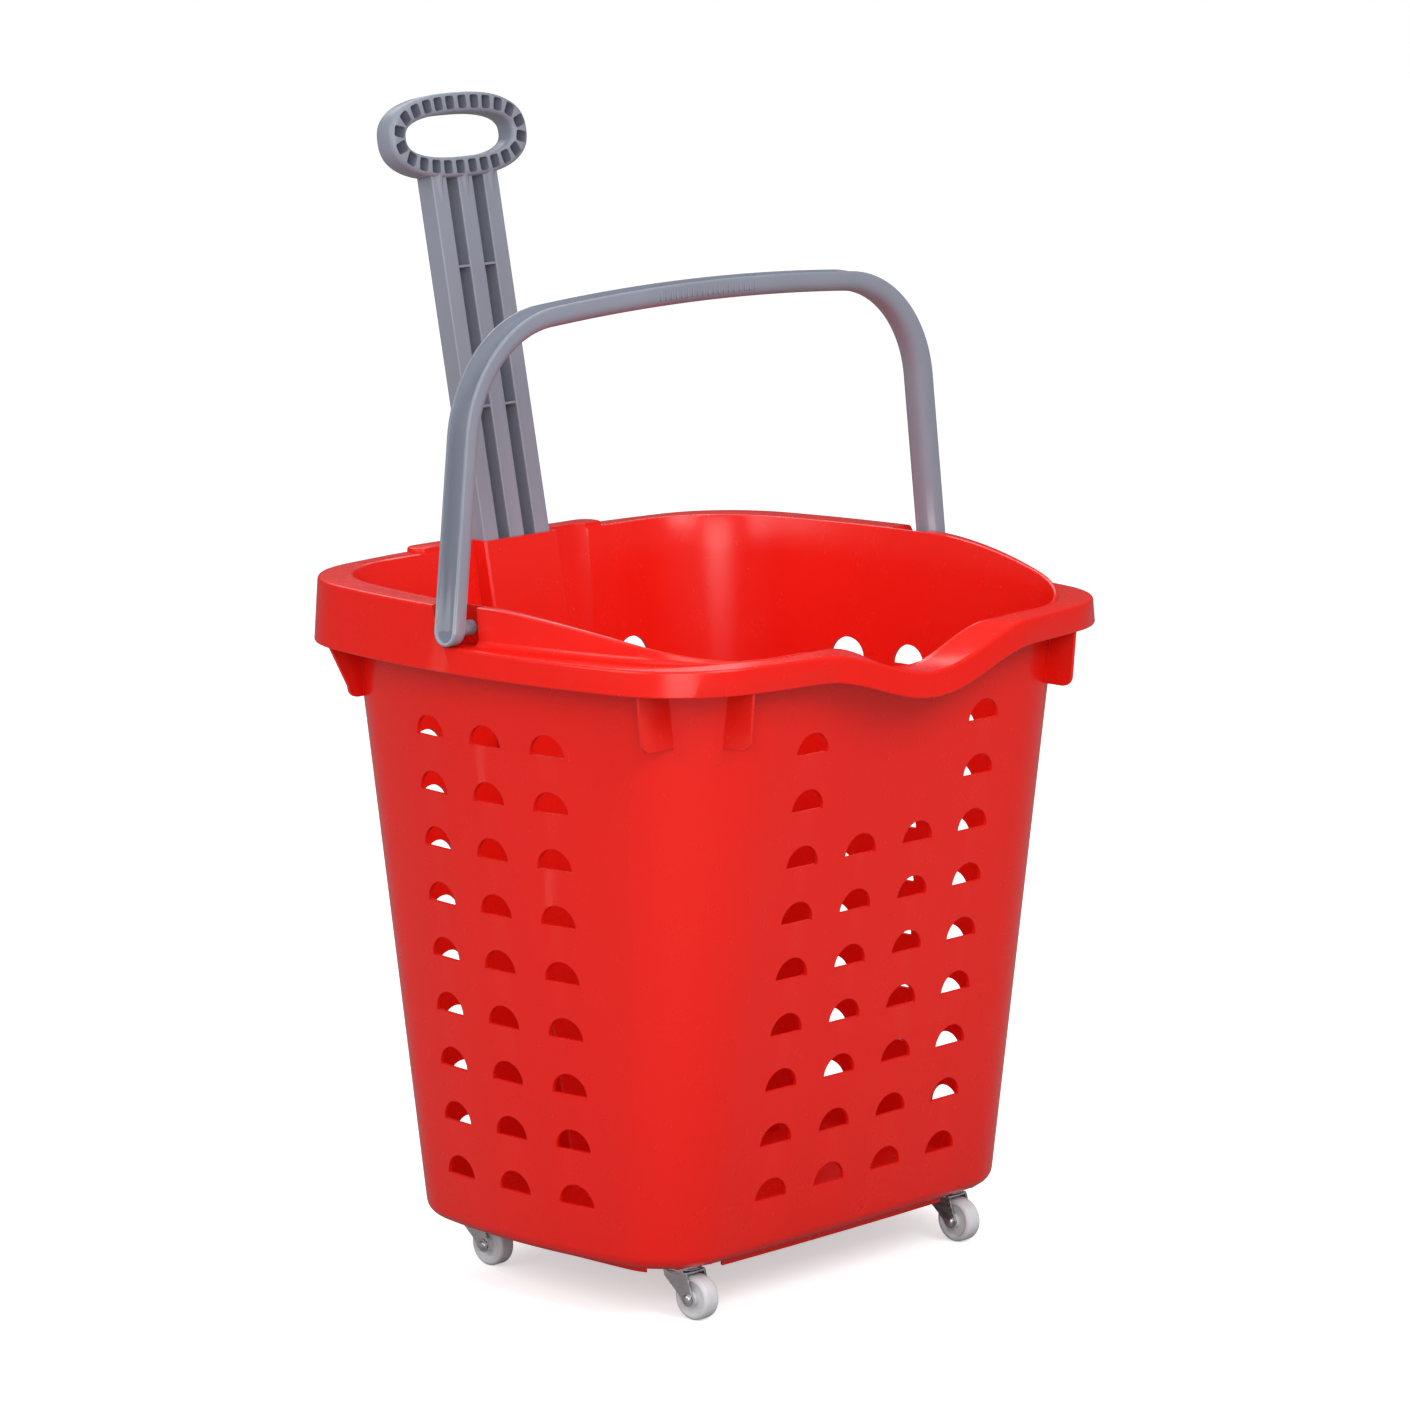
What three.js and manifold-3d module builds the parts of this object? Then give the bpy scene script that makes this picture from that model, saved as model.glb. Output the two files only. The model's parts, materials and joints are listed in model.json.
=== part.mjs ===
// A rolling basket trolley: a tapered shop basket on four swivel casters, with a carry bail that
// folds forward onto the rim and a pull handle that slides up out of a channel in the back wall.
// Millimetres, +Z up. The dipped front wall faces -Y and the pull handle stands at +Y. Pieces are
// built round the middle of the basket; the trolley as a whole then moves forward so that its
// origin is on the ground under the middle of its full depth, with the pull handle raised.
import * as THREE from "three";
import { mergeVertices } from "three/addons/utils/BufferGeometryUtils.js";
import Module from "manifold-3d";

const wasm = await Module();
wasm.setup();

// ---------------------------------------------------------------- driving dimensions

const GAP = 0.3; // clearance between two pieces that touch on the real trolley
const MIDDLE_Y = 23.55; // middle of the trolley's full depth, measured from the middle of the basket

// Basket wall: an outline of bowed sides and round corners that grows with height.
const WALL = 2.8;
const FLOOR_UNDERSIDE = 38;
const FLOOR_THICKNESS = 3;
const BOTTOM_ROUND = 10;
const WALL_AT_GROUND = { halfX: 179.5, halfY: 125.5, bowX: 15, bowY: 3.5, corner: 50 };
const WALL_GROWTH = { halfX: 0.0713, halfY: 0.1342, bowX: 0.043, bowY: 0.003, corner: 0.067 };

// Rim: a tall flange round the back half, a low ledge round the front half.
const RIM_OUTLINE = { halfX: 235, halfY: 210, bowX: 34, bowY: 33, corner: 79 };
const RIM_THICKNESS = 2.6;
const RIM_EDGE_ROUND = 2;
const SKIRT_DRAFT = 0.08; // how far the skirt leans out per millimetre downwards
const SKIRT_BOTTOM = 433;
const LEDGE_TOP = 450;
const RIM_TOP = 475.5;
const LIP_SLOPE_START = { y: -19, z: 475 };
const LIP_SLOPE_END = { y: -148, z: 459 };
const LIP_FRONT = { y: -178, z: 450.7 };
const SHOULDER = { reach: 7, startY: -7, endY: -150 }; // thicker lip in front of the bail
const DIP_DEPTH = 21.6;
const DIP_HALF_WIDTH = 105;

// Ventilation holes: half rounds standing on their flat edge.
const HOLE_PITCH = 55.4;
const HOLE_ROW_PITCH = 38;
const HOLE_FIRST_ROW = 84;
const HOLE_RADIUS = 14.2;
const HOLE_HALF_WIDTH = 14.6;
const HOLE_ROWS = 9;
const DIP_HOLE_ROWS = 7;
const SIDE_HOLE_CENTRE = 1.9;
const BACK_HOLE_X = 103;

// Carry bail: a channel bent into an arch, hinged on a line parallel to X.
const BAIL_PIVOT = { y: 5, z: 460.8 };
const BAIL_FOOT_X = 238;
const BAIL_WIDTH = 20;
const BAIL_DEPTH = 14;
const BAIL_WALL = 3;
const BAIL_ROUND = 8;
const BAIL_TOP = 669.2;
const BAIL_TOP_RADIUS = 1900;
const BAIL_CORNER_START = 142;
const BAIL_CORNER_RADIUS = 89;
const BAIL_LEG_LEAN = THREE.MathUtils.degToRad(6.5);
const BAIL_BOSS_RADIUS = 5;
const PIN_RADIUS = 3;
const PIN_BARB = 1.4;

// Notch in the rim for each bail leg, and the flat recess behind the leg.
const NOTCH_LEAN = THREE.MathUtils.degToRad(26.6);
const NOTCH_BACK = { y: 13, z: 453.8 };
const NOTCH_FRONT_Y = -7;
const POCKET_BACK_Y = 24;
const POCKET_X = 212.6;

// Pull handle: a corrugated bar with an oval grip. Its own frame has s along the slide, d the
// depth behind the bar's front face, and its origin where the front face passes the rim top.
const SLIDE_LEAN = THREE.MathUtils.degToRad(10.8);
const SLIDE_ORIGIN = { y: 182.6, z: RIM_TOP };
const BAR_FLAT = 14;
const BAR_GROOVE = 10.5;
const BAR_DEPTH = 15;
const BAR_WALL = 2.2;
const BAR_BOTTOM = -86;
const BAR_LUG = { reach: 2.4, height: 8 };
const BAR_RIB_THICKNESS = 1.8;
const BAR_RIB_TOP = 193.2;
const BAR_RIB_PITCH = 98;
const BAR_RIB_COUNT = 3;
const GRIP_CENTRE = 284.2;
const GRIP_HALF = { x: 64.7, s: 29.6 };
const GRIP_BAND = 14.5;
const GRIP_DEPTH = { front: -2.5, back: 16 };
const GRIP_POCKETS = 24;
const GRIP_POCKET = { halfLength: 4.4, halfWidth: 2.4, floor: 3 };

// Channel that guides the bar, and the shallow bay of the back wall around it.
const CHANNEL_SIDE = 3.2;
const CHANNEL_FRONT = 3.4;
const CHANNEL_STOP = BAR_BOTTOM + BAR_LUG.height + GAP;
const BAY_HALF_WIDTH = 74;
const BAY_BACK = 8.8;
const CAP_TOP = 478.5;
const CAP_HALF_WIDTH = 89;
const CAP_FRONT_Y = 184;
const CAP_BACK_Y = 207.5;

// Corner ribs under the rim.
const RIB_THICKNESS = 2.4;
const RIB_BOTTOM = 394.5;
const RIB_TOP = 446;
const RIB_ROUND = 7;
const FRONT_SIDE_RIB = { y: -145, outer: 212, foot: 209, root: 178 };
const REAR_SIDE_RIB = { y: 145, outer: 213, foot: 196, root: 176 };
const END_RIB = { x: 156, outer: 194, foot: 191, root: 158 };

// Foot ring under the floor.
const FOOT_RING = { halfX: 157.5, halfY: 115.5, bowX: 3, bowY: 3, corner: 40 };
const FOOT_RING_WALL = 3;
const FOOT_RING_BOTTOM = 32;
const FOOT_RING_NOTCH = 26;

// Swivel casters.
const CASTER_X = 129.5;
const CASTER_FRONT_Y = -100;
const CASTER_BACK_Y = 95;
const TRAIL = 12;
const WHEEL_RADIUS = 15;
const WHEEL_WIDTH = 13;
const WHEEL_SIDES = 16;
const WHEEL_RECESS = 2;
const HUB_RADIUS = 5;
const FORK_THICKNESS = 1.5;
const FORK_INNER = 7.6;
const FORK_TOP = 32.7;
const FORK_END_RADIUS = 5;
const BEARING_RADIUS = 12;
const PLATE = { halfX: 19, halfY: 14, thickness: 1.6 };
const SCREW_X = 14.5;
const SCREW_Y = 9.5;
const SCREW_RADIUS = 1.8;
const SCREW_HEAD_RADIUS = 3.2;
const SCREW_SIDES = 6;
const SHAFT_SIDES = 10;
const AXLE_RADIUS = 2.5;
const BOLT_HEAD_RADIUS = 3.9;
const NUT_RADIUS = 4.4;
const NUT_THICKNESS = 2.6;
const KINGPIN_RADIUS = 2.5;
const KINGPIN_HEAD_RADIUS = 5;
const PAD = { halfX: 21, halfY: 15.5, top: 47 };

// ---------------------------------------------------------------- materials

const paint = (color, roughness, metalness = 0) =>
  new THREE.MeshStandardMaterial({ color, roughness, metalness });
const RED_PLASTIC = paint(0xd9261c, 0.25);
const GREY_PLASTIC = paint(0x8f95a6, 0.4);
const WHITE_NYLON = paint(0xe4e4e6, 0.45);
const ZINC = paint(0xb9bcc2, 0.3, 0.9);

// ---------------------------------------------------------------- solids and meshes

function toSolid(geometry) {
  const bare = geometry.clone();
  bare.deleteAttribute("normal");
  bare.deleteAttribute("uv");
  const merged = mergeVertices(bare, 1e-4);
  return new wasm.Manifold(
    new wasm.Mesh({
      numProp: 3,
      vertProperties: merged.attributes.position.array,
      triVerts: new Uint32Array(merged.index.array),
    }),
  );
}

function toGeometry(solid) {
  const { vertProperties, triVerts } = solid.getMesh();
  const geometry = new THREE.BufferGeometry();
  geometry.setAttribute("position", new THREE.BufferAttribute(vertProperties, 3));
  geometry.setIndex(new THREE.BufferAttribute(triVerts, 1));
  const flat = geometry.toNonIndexed();
  flat.computeVertexNormals();
  return flat;
}

function meshOf(name, solid, material) {
  const mesh = new THREE.Mesh(toGeometry(solid), material);
  mesh.name = name;
  return mesh;
}

const join = (solids) => solids.reduce((whole, solid) => whole.add(solid));

// A box between two corners.
function boxBetween([x0, y0, z0], [x1, y1, z1]) {
  const box = new THREE.BoxGeometry(x1 - x0, y1 - y0, z1 - z0);
  box.translate((x0 + x1) / 2, (y0 + y1) / 2, (z0 + z1) / 2);
  return toSolid(box);
}

// A body of revolution about Z from [radius, z] points, closed on the axis.
function turned(points, segments) {
  const profile = points.map(([radius, z]) => new THREE.Vector2(radius, z));
  const lathe = new THREE.LatheGeometry(profile, segments);
  lathe.rotateX(Math.PI / 2);
  const solid = toSolid(lathe);
  return solid.volume() < 0 ? toSolid(lathe.scale(-1, 1, 1)) : solid;
}

// A cylinder about Z between two heights.
const rod = (radius, z0, z1, segments = 16) =>
  turned([[0, z0], [radius, z0], [radius, z1], [0, z1]], segments);

// The same body turned so that its Z axis points along X.
const alongX = (solid) => solid.rotate([0, 90, 0]);

// A solid skinned over a stack of rings with equal point counts, closed by a fan at each end.
function loft(rings) {
  const count = rings[0].length;
  const middle = (ring) =>
    ring.reduce((sum, p) => sum.add(p), new THREE.Vector3()).divideScalar(count);
  const points = [...rings.flat(), middle(rings[0]), middle(rings.at(-1))];
  const index = [];
  for (let level = 0; level < rings.length - 1; level++)
    for (let i = 0; i < count; i++) {
      const a = level * count + i;
      const b = level * count + ((i + 1) % count);
      index.push(a, b, b + count, a, b + count, a + count);
    }
  const bottom = rings.length * count;
  const last = (rings.length - 1) * count;
  for (let i = 0; i < count; i++) {
    const next = (i + 1) % count;
    index.push(bottom, next, i);
    index.push(bottom + 1, last + i, last + next);
  }
  const geometry = new THREE.BufferGeometry().setFromPoints(points);
  geometry.setIndex(index);
  return toSolid(geometry);
}

// A closed band: one profile of points at each station of a loop.
function closedBand(stations) {
  const size = stations[0].length;
  const index = [];
  stations.forEach((_, s) => {
    const next = (s + 1) % stations.length;
    for (let k = 0; k < size; k++) {
      const a = s * size + k;
      const b = s * size + ((k + 1) % size);
      const c = next * size + ((k + 1) % size);
      const d = next * size + k;
      index.push(a, c, b, a, d, c);
    }
  });
  const geometry = new THREE.BufferGeometry().setFromPoints(stations.flat());
  geometry.setIndex(index);
  return toSolid(geometry);
}

// A flat shape of [u, v] points extruded by a depth, still in its own frame.
function extruded(points, depth, holes = []) {
  const outline = (list) => list.map(([u, v]) => new THREE.Vector2(u, v));
  const shape = new THREE.Shape(outline(points));
  shape.holes = holes.map((hole) => new THREE.Path(outline(hole)));
  return new THREE.ExtrudeGeometry(shape, { depth, bevelEnabled: false });
}

function arcPoints([cu, cv], radius, from, to, steps) {
  const at = (i) => from + ((to - from) * i) / steps;
  const point = (angle) => [cu + radius * Math.cos(angle), cv + radius * Math.sin(angle)];
  return Array.from({ length: steps + 1 }, (_, i) => point(at(i)));
}

// ---------------------------------------------------------------- outlines

// One quarter of a rectangle with bowed sides: a long arc for the +X side, a corner arc and a
// long arc for the +Y side, all meeting tangentially. `steps` divides the three arcs.
function quarterOutline({ halfX, halfY, bowX, bowY, corner }, steps) {
  const radiusX = (halfY ** 2 + bowX ** 2) / (2 * bowX);
  const radiusY = (halfX ** 2 + bowY ** 2) / (2 * bowY);
  const sideX = new THREE.Vector2(halfX - radiusX, 0);
  const sideY = new THREE.Vector2(0, halfY - radiusY);
  const reachX = radiusX - corner;
  const reachY = radiusY - corner;
  const between = sideY.clone().sub(sideX);
  const distance = between.length();
  const along = (reachX ** 2 - reachY ** 2 + distance ** 2) / (2 * distance);
  const across = Math.sqrt(reachX ** 2 - along ** 2);
  const unit = between.divideScalar(distance);
  const centre = sideX.clone().addScaledVector(unit, along);
  centre.add(new THREE.Vector2(-unit.y, unit.x).multiplyScalar(across));
  const start = Math.atan2(centre.y, centre.x - sideX.x);
  const end = Math.atan2(centre.y - sideY.y, centre.x);
  return [
    ...arcPoints(sideX.toArray(), radiusX, 0, start, steps[0]),
    ...arcPoints(centre.toArray(), corner, start, end, steps[1]).slice(1),
    ...arcPoints(sideY.toArray(), radiusY, end, Math.PI / 2, steps[2]).slice(1),
  ];
}

// The whole outline, anticlockwise from the middle of the +X side.
function bowedOutline(sizes, steps) {
  const quarter = quarterOutline(sizes, steps);
  const back = quarter.toReversed().slice(1);
  return [
    ...quarter,
    ...back.map(([x, y]) => [-x, y]),
    ...quarter.slice(1).map(([x, y]) => [-x, -y]),
    ...back.slice(0, -1).map(([x, y]) => [x, -y]),
  ];
}

const inset = (sizes, by) => ({
  ...sizes,
  halfX: sizes.halfX - by,
  halfY: sizes.halfY - by,
  corner: sizes.corner - by,
});

// Sizes of the wall's outer face at a height.
const wallSizes = (z) =>
  Object.fromEntries(
    Object.entries(WALL_AT_GROUND).map(([key, size]) => [key, size + WALL_GROWTH[key] * z]),
  );

const atHeight = (outline, z) => outline.map(([x, y]) => new THREE.Vector3(x, y, z));

// ---------------------------------------------------------------- basket

const COARSE_STEPS = [3, 4, 3];
const FINE_STEPS = [3, 4, 8];

// How far the front rim sinks at a place across the front.
function dipAt(x, y) {
  const reach = Math.min(Math.abs(x) / DIP_HALF_WIDTH, 1);
  return y < 0 ? (DIP_DEPTH * (1 + Math.cos(Math.PI * reach))) / 2 : 0;
}

// Height of the wall's top edge: level behind the notches, sloping down towards the front.
function lipAt(y) {
  const { lerp, clamp } = THREE.MathUtils;
  const slope = clamp((LIP_SLOPE_START.y - y) / (LIP_SLOPE_START.y - LIP_SLOPE_END.y), 0, 1);
  const front = clamp((LIP_SLOPE_END.y - y) / (LIP_SLOPE_END.y - LIP_FRONT.y), 0, 1);
  return lerp(lerp(LIP_SLOPE_START.z, LIP_SLOPE_END.z, slope), LIP_FRONT.z, front);
}

// How far the lip's outer face stands off the wall, fading out towards the front.
function shoulderAt(y) {
  const fade = (y - SHOULDER.endY) / (SHOULDER.startY - SHOULDER.endY);
  return SHOULDER.reach * THREE.MathUtils.clamp(fade, 0, 1);
}

// The tapered wall as a solid, rounded at the bottom, `by` inside the outer face. Above the
// ledge its outline stands `outAt` further out.
function wallSolid(by, bottom, topAt, outAt) {
  const round = BOTTOM_ROUND - Math.min(by, BOTTOM_ROUND / 2);
  const rings = arcPoints([round, round], round, Math.PI * 1.5, Math.PI, 2).map(([u, v]) => {
    const z = bottom + v;
    return atHeight(bowedOutline(inset(wallSizes(z), by + u), COARSE_STEPS), z);
  });
  const upper = bowedOutline(inset(wallSizes(RIM_TOP), by), COARSE_STEPS);
  const ring = (heightAt, reachAt) =>
    upper.map(([, y], i) => {
      const z = heightAt(y);
      const sizes = inset(wallSizes(z), by - reachAt(y));
      return new THREE.Vector3(...bowedOutline(sizes, COARSE_STEPS)[i], z);
    });
  const under = ring(() => LEDGE_TOP - RIM_THICKNESS, () => 0);
  return loft([...rings, under, ring(() => LEDGE_TOP - 1, outAt), ring(topAt, outAt)]);
}

// The flange and skirt that stand off the wall, with the flange's top at a height.
function rimBand(top, steps, sink) {
  const outer = bowedOutline(RIM_OUTLINE, steps);
  const inner = bowedOutline(inset(wallSizes(top), WALL / 2), steps);
  const stations = outer.map(([x, y], i) => {
    const edge = new THREE.Vector2(x, y);
    const root = new THREE.Vector2(...inner[i]);
    const inwards = root.clone().sub(edge).normalize();
    const drop = sink(x, y);
    const place = (point, z) => new THREE.Vector3(point.x, point.y, z - drop);
    const moved = (by) => edge.clone().addScaledVector(inwards, by);
    const lean = SKIRT_DRAFT * (top - SKIRT_BOTTOM);
    return [
      place(edge, SKIRT_BOTTOM),
      place(moved(lean), top - RIM_EDGE_ROUND),
      place(moved(lean + RIM_EDGE_ROUND), top),
      place(root, top),
      place(root, top - RIM_THICKNESS),
      place(moved(lean + RIM_THICKNESS), top - RIM_THICKNESS),
      place(moved(RIM_THICKNESS), SKIRT_BOTTOM),
    ];
  });
  return closedBand(stations);
}

// What the dip takes out of the front wall's top edge.
function dipCut() {
  const count = 8;
  const curve = Array.from({ length: count + 1 }, (_, i) => {
    const x = THREE.MathUtils.lerp(DIP_HALF_WIDTH, -DIP_HALF_WIDTH, i / count);
    return [x, LIP_FRONT.z - dipAt(x, -1)];
  });
  const above = RIM_TOP + 10;
  const outline = [[-DIP_HALF_WIDTH, above], [DIP_HALF_WIDTH, above], ...curve];
  return toSolid(extruded(outline, 100).rotateX(Math.PI / 2).translate(0, -140, 0));
}

// A slab parallel to the slanted back edge of the notch, from that edge backwards.
function behindNotch(thickness) {
  const slab = boxBetween([-300, 0, -200], [300, thickness, 200]);
  const lean = THREE.MathUtils.radToDeg(NOTCH_LEAN);
  return slab.rotate([-lean, 0, 0]).translate([0, NOTCH_BACK.y, NOTCH_BACK.z]);
}

function rim(innerWall) {
  const rear = rimBand(RIM_TOP, COARSE_STEPS, () => 0).intersect(behindNotch(400));
  const frontHalf = boxBetween([-300, -300, 400], [300, POCKET_BACK_Y, 500]);
  const front = rimBand(LEDGE_TOP, FINE_STEPS, dipAt).intersect(frontHalf);
  const skirtFace = (z) => {
    const lean = SKIRT_DRAFT * (z - SKIRT_BOTTOM);
    return atHeight(bowedOutline(inset(RIM_OUTLINE, lean + RIM_EDGE_ROUND / 2), COARSE_STEPS), z);
  };
  const filled = loft([LEDGE_TOP - RIM_THICKNESS, RIM_TOP - RIM_EDGE_ROUND / 2].map(skirtFace));
  const endWebs = filled.subtract(innerWall).intersect(behindNotch(RIM_THICKNESS));
  return join([rear, front, endWebs]).subtract(innerWall);
}

// Ribs under the rim, two at each corner, with a round lower outer edge.
function cornerRibs() {
  const plate = ({ outer, foot, root }) => {
    const centre = [foot - RIB_ROUND, RIB_BOTTOM + RIB_ROUND];
    const profile = [
      [root, RIB_BOTTOM],
      ...arcPoints(centre, RIB_ROUND, -Math.PI / 2, 0, 3),
      [outer, RIB_TOP],
      [root, RIB_TOP],
    ];
    const flat = extruded(profile, RIB_THICKNESS);
    return toSolid(flat.translate(0, 0, -RIB_THICKNESS / 2).rotateX(Math.PI / 2));
  };
  const sides = [FRONT_SIDE_RIB, REAR_SIDE_RIB].map((rib) => plate(rib).translate([0, rib.y, 0]));
  const end = plate(END_RIB).rotate([0, 0, 90]).translate([END_RIB.x, 0, 0]);
  const half = [...sides, end, end.mirror([0, 1, 0])];
  return join([...half, ...half.map((rib) => rib.mirror([1, 0, 0]))]);
}

// One half-round hole punch reaching from y = 0 to y = -60, flat edge down, centred on z = 0.
function holePunch() {
  const flatEdge = -HOLE_RADIUS / 2;
  const arc = arcPoints([0, 0], 1, 0, Math.PI, 4);
  const outline = arc.map(([u, v]) => [u * HOLE_HALF_WIDTH, flatEdge + v * HOLE_RADIUS]);
  return toSolid(extruded(outline, 60).rotateX(Math.PI / 2));
}

function holes() {
  const punch = holePunch();
  const column = (rows, place) =>
    Array.from({ length: rows }, (_, row) => place(HOLE_FIRST_ROW + row * HOLE_ROW_PITCH));
  const front = [-1.5, -0.5, 0.5, 1.5].flatMap((step) =>
    column(Math.abs(step) < 1 ? DIP_HOLE_ROWS : HOLE_ROWS, (z) =>
      punch.translate([step * HOLE_PITCH, 10 - wallSizes(z).halfY, z]),
    ),
  );
  const back = [-1, 1].flatMap((side) =>
    column(HOLE_ROWS, (z) => punch.translate([side * BACK_HOLE_X, wallSizes(z).halfY + 40, z])),
  );
  const sides = [-1, 1].flatMap((side) =>
    [-1, 0, 1].flatMap((step) =>
      column(HOLE_ROWS, (z) =>
        punch
          .rotate([0, 0, 90 * side])
          .translate([side * (wallSizes(z).halfX - 20), SIDE_HOLE_CENTRE + step * HOLE_PITCH, z]),
      ),
    ),
  );
  return join([...front, ...back, ...sides]);
}

// Moves a solid from the slide's frame (x, d, s) into the trolley's frame.
const onSlide = (solid) =>
  solid
    .rotate([-THREE.MathUtils.radToDeg(SLIDE_LEAN), 0, 0])
    .translate([0, SLIDE_ORIGIN.y, SLIDE_ORIGIN.z]);

const barHalfWidth = (3 * BAR_FLAT + 2 * BAR_GROOVE) / 2;
const slotHalfWidth = barHalfWidth + 0.8;
const channelHalfWidth = barHalfWidth + BAR_LUG.reach + 0.8;
const slotFront = -0.8;
const slotBack = BAR_DEPTH + 0.8;

// The channel's outer walls, cut level with the cap and standing on the floor.
function channelBody() {
  const side = channelHalfWidth + CHANNEL_SIDE;
  const walls = boxBetween(
    [-side, slotFront - CHANNEL_FRONT, -470],
    [side, slotBack + CHANNEL_SIDE, 40],
  );
  const room = boxBetween([-100, 0, FLOOR_UNDERSIDE + 1], [100, 300, CAP_TOP]);
  return onSlide(walls).intersect(room);
}

// The channel's hollow: a narrow mouth above the stop, a wider well for the bar's lugs below.
function channelHollow() {
  const mouth = boxBetween(
    [-slotHalfWidth, slotFront, CHANNEL_STOP - 1],
    [slotHalfWidth, slotBack, 60],
  );
  const well = boxBetween(
    [-channelHalfWidth, slotFront, -450],
    [channelHalfWidth, slotBack, CHANNEL_STOP],
  );
  const aboveFloor = boxBetween(
    [-100, 0, FLOOR_UNDERSIDE + FLOOR_THICKNESS],
    [100, 300, 600],
  );
  return onSlide(mouth.add(well)).intersect(aboveFloor);
}

// Raised cap on the back flange, with round ends, that the bar comes out of.
function channelCap() {
  const round = (CAP_BACK_Y - CAP_FRONT_Y) / 2;
  const side = CAP_HALF_WIDTH - round;
  const middle = (CAP_FRONT_Y + CAP_BACK_Y) / 2;
  const outline = [
    ...arcPoints([side, middle], round, -Math.PI / 2, Math.PI / 2, 4),
    ...arcPoints([-side, middle], round, Math.PI / 2, (Math.PI * 3) / 2, 4),
  ];
  const height = CAP_TOP - RIM_TOP + RIM_THICKNESS;
  return toSolid(extruded(outline, height).translate(0, 0, CAP_TOP - height));
}

// Ring under the floor, open where the casters swivel.
function footRing() {
  const steps = [2, 3, 2];
  const ring = (by) => {
    const outline = bowedOutline(inset(FOOT_RING, by), steps);
    const extra = by ? 1 : 0;
    return loft([
      atHeight(outline, FOOT_RING_BOTTOM - extra),
      atHeight(outline, FLOOR_UNDERSIDE + 1 + extra),
    ]);
  };
  const clearances = casterPlaces.map(([, x, y]) =>
    rod(FOOT_RING_NOTCH, FOOT_RING_BOTTOM - 5, FLOOR_UNDERSIDE, 16).translate([x, y, 0]),
  );
  return ring(0).subtract(ring(FOOT_RING_WALL)).subtract(join(clearances));
}

const casterPlaces = [
  ["front_left", -CASTER_X, CASTER_FRONT_Y],
  ["front_right", CASTER_X, CASTER_FRONT_Y],
  ["rear_left", -CASTER_X, CASTER_BACK_Y],
  ["rear_right", CASTER_X, CASTER_BACK_Y],
];
const screwPlaces = [
  [-SCREW_X, -SCREW_Y],
  [SCREW_X, -SCREW_Y],
  [-SCREW_X, SCREW_Y],
  [SCREW_X, SCREW_Y],
];
const screwTop = PAD.top - 2;
const kingpinTop = FLOOR_UNDERSIDE + 1.6;

// Thick pad of the floor over each caster, and the holes that its fasteners need.
function casterPads() {
  const pad = boxBetween(
    [-PAD.halfX, -PAD.halfY, FLOOR_UNDERSIDE],
    [PAD.halfX, PAD.halfY, PAD.top],
  );
  return join(casterPlaces.map(([, x, y]) => pad.translate([x, y, 0])));
}

function casterHoles() {
  const screwHole = rod(SCREW_RADIUS + GAP, FLOOR_UNDERSIDE - 1, screwTop + GAP, SCREW_SIDES);
  const rivetHole = rod(KINGPIN_HEAD_RADIUS + GAP, FLOOR_UNDERSIDE - 1, kingpinTop + GAP, 10);
  const set = [rivetHole, ...screwPlaces.map(([x, y]) => screwHole.translate([x, y, 0]))];
  return join(casterPlaces.flatMap(([, x, y]) => set.map((hole) => hole.translate([x, y, 0]))));
}

// Flat recess behind each bail leg, and the hole that the bail's spigot turns in.
function pocketHollows() {
  const past = RIM_OUTLINE.halfX + 10;
  const right = boxBetween(
    [POCKET_X, NOTCH_FRONT_Y, LEDGE_TOP],
    [past, POCKET_BACK_Y, RIM_TOP + 5],
  );
  const pinHole = alongX(rod(PIN_RADIUS + GAP, POCKET_X - 10, POCKET_X + 5, SHAFT_SIDES));
  const placedHole = pinHole.translate([0, BAIL_PIVOT.y, BAIL_PIVOT.z]);
  const cut = right.subtract(behindNotch(300)).add(placedHole);
  return cut.add(cut.mirror([1, 0, 0]));
}

function basketTub() {
  const outerWall = wallSolid(0, FLOOR_UNDERSIDE, lipAt, shoulderAt).subtract(dipCut());
  const room = FLOOR_UNDERSIDE + FLOOR_THICKNESS;
  const innerWall = wallSolid(WALL, room, () => RIM_TOP + 20, () => 0);
  const bay = (half, back) =>
    onSlide(boxBetween([-half, -60, -300], [half, back, 60])).intersect(
      boxBetween([-100, 100, 200], [100, 300, half > BAY_HALF_WIDTH ? RIM_TOP : 600]),
    );
  const bayInner = bay(BAY_HALF_WIDTH, BAY_BACK);
  const bayOuter = bay(BAY_HALF_WIDTH + WALL, BAY_BACK + WALL);
  const shell = outerWall
    .add(bayOuter.subtract(innerWall))
    .add(rim(innerWall))
    .add(cornerRibs().subtract(innerWall))
    .add(channelCap())
    .subtract(innerWall)
    .subtract(bayInner);
  return shell
    .subtract(pocketHollows())
    .subtract(holes())
    .add(channelBody())
    .subtract(channelHollow())
    .add(footRing())
    .add(casterPads())
    .subtract(casterHoles());
}

// ---------------------------------------------------------------- carry bail

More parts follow.
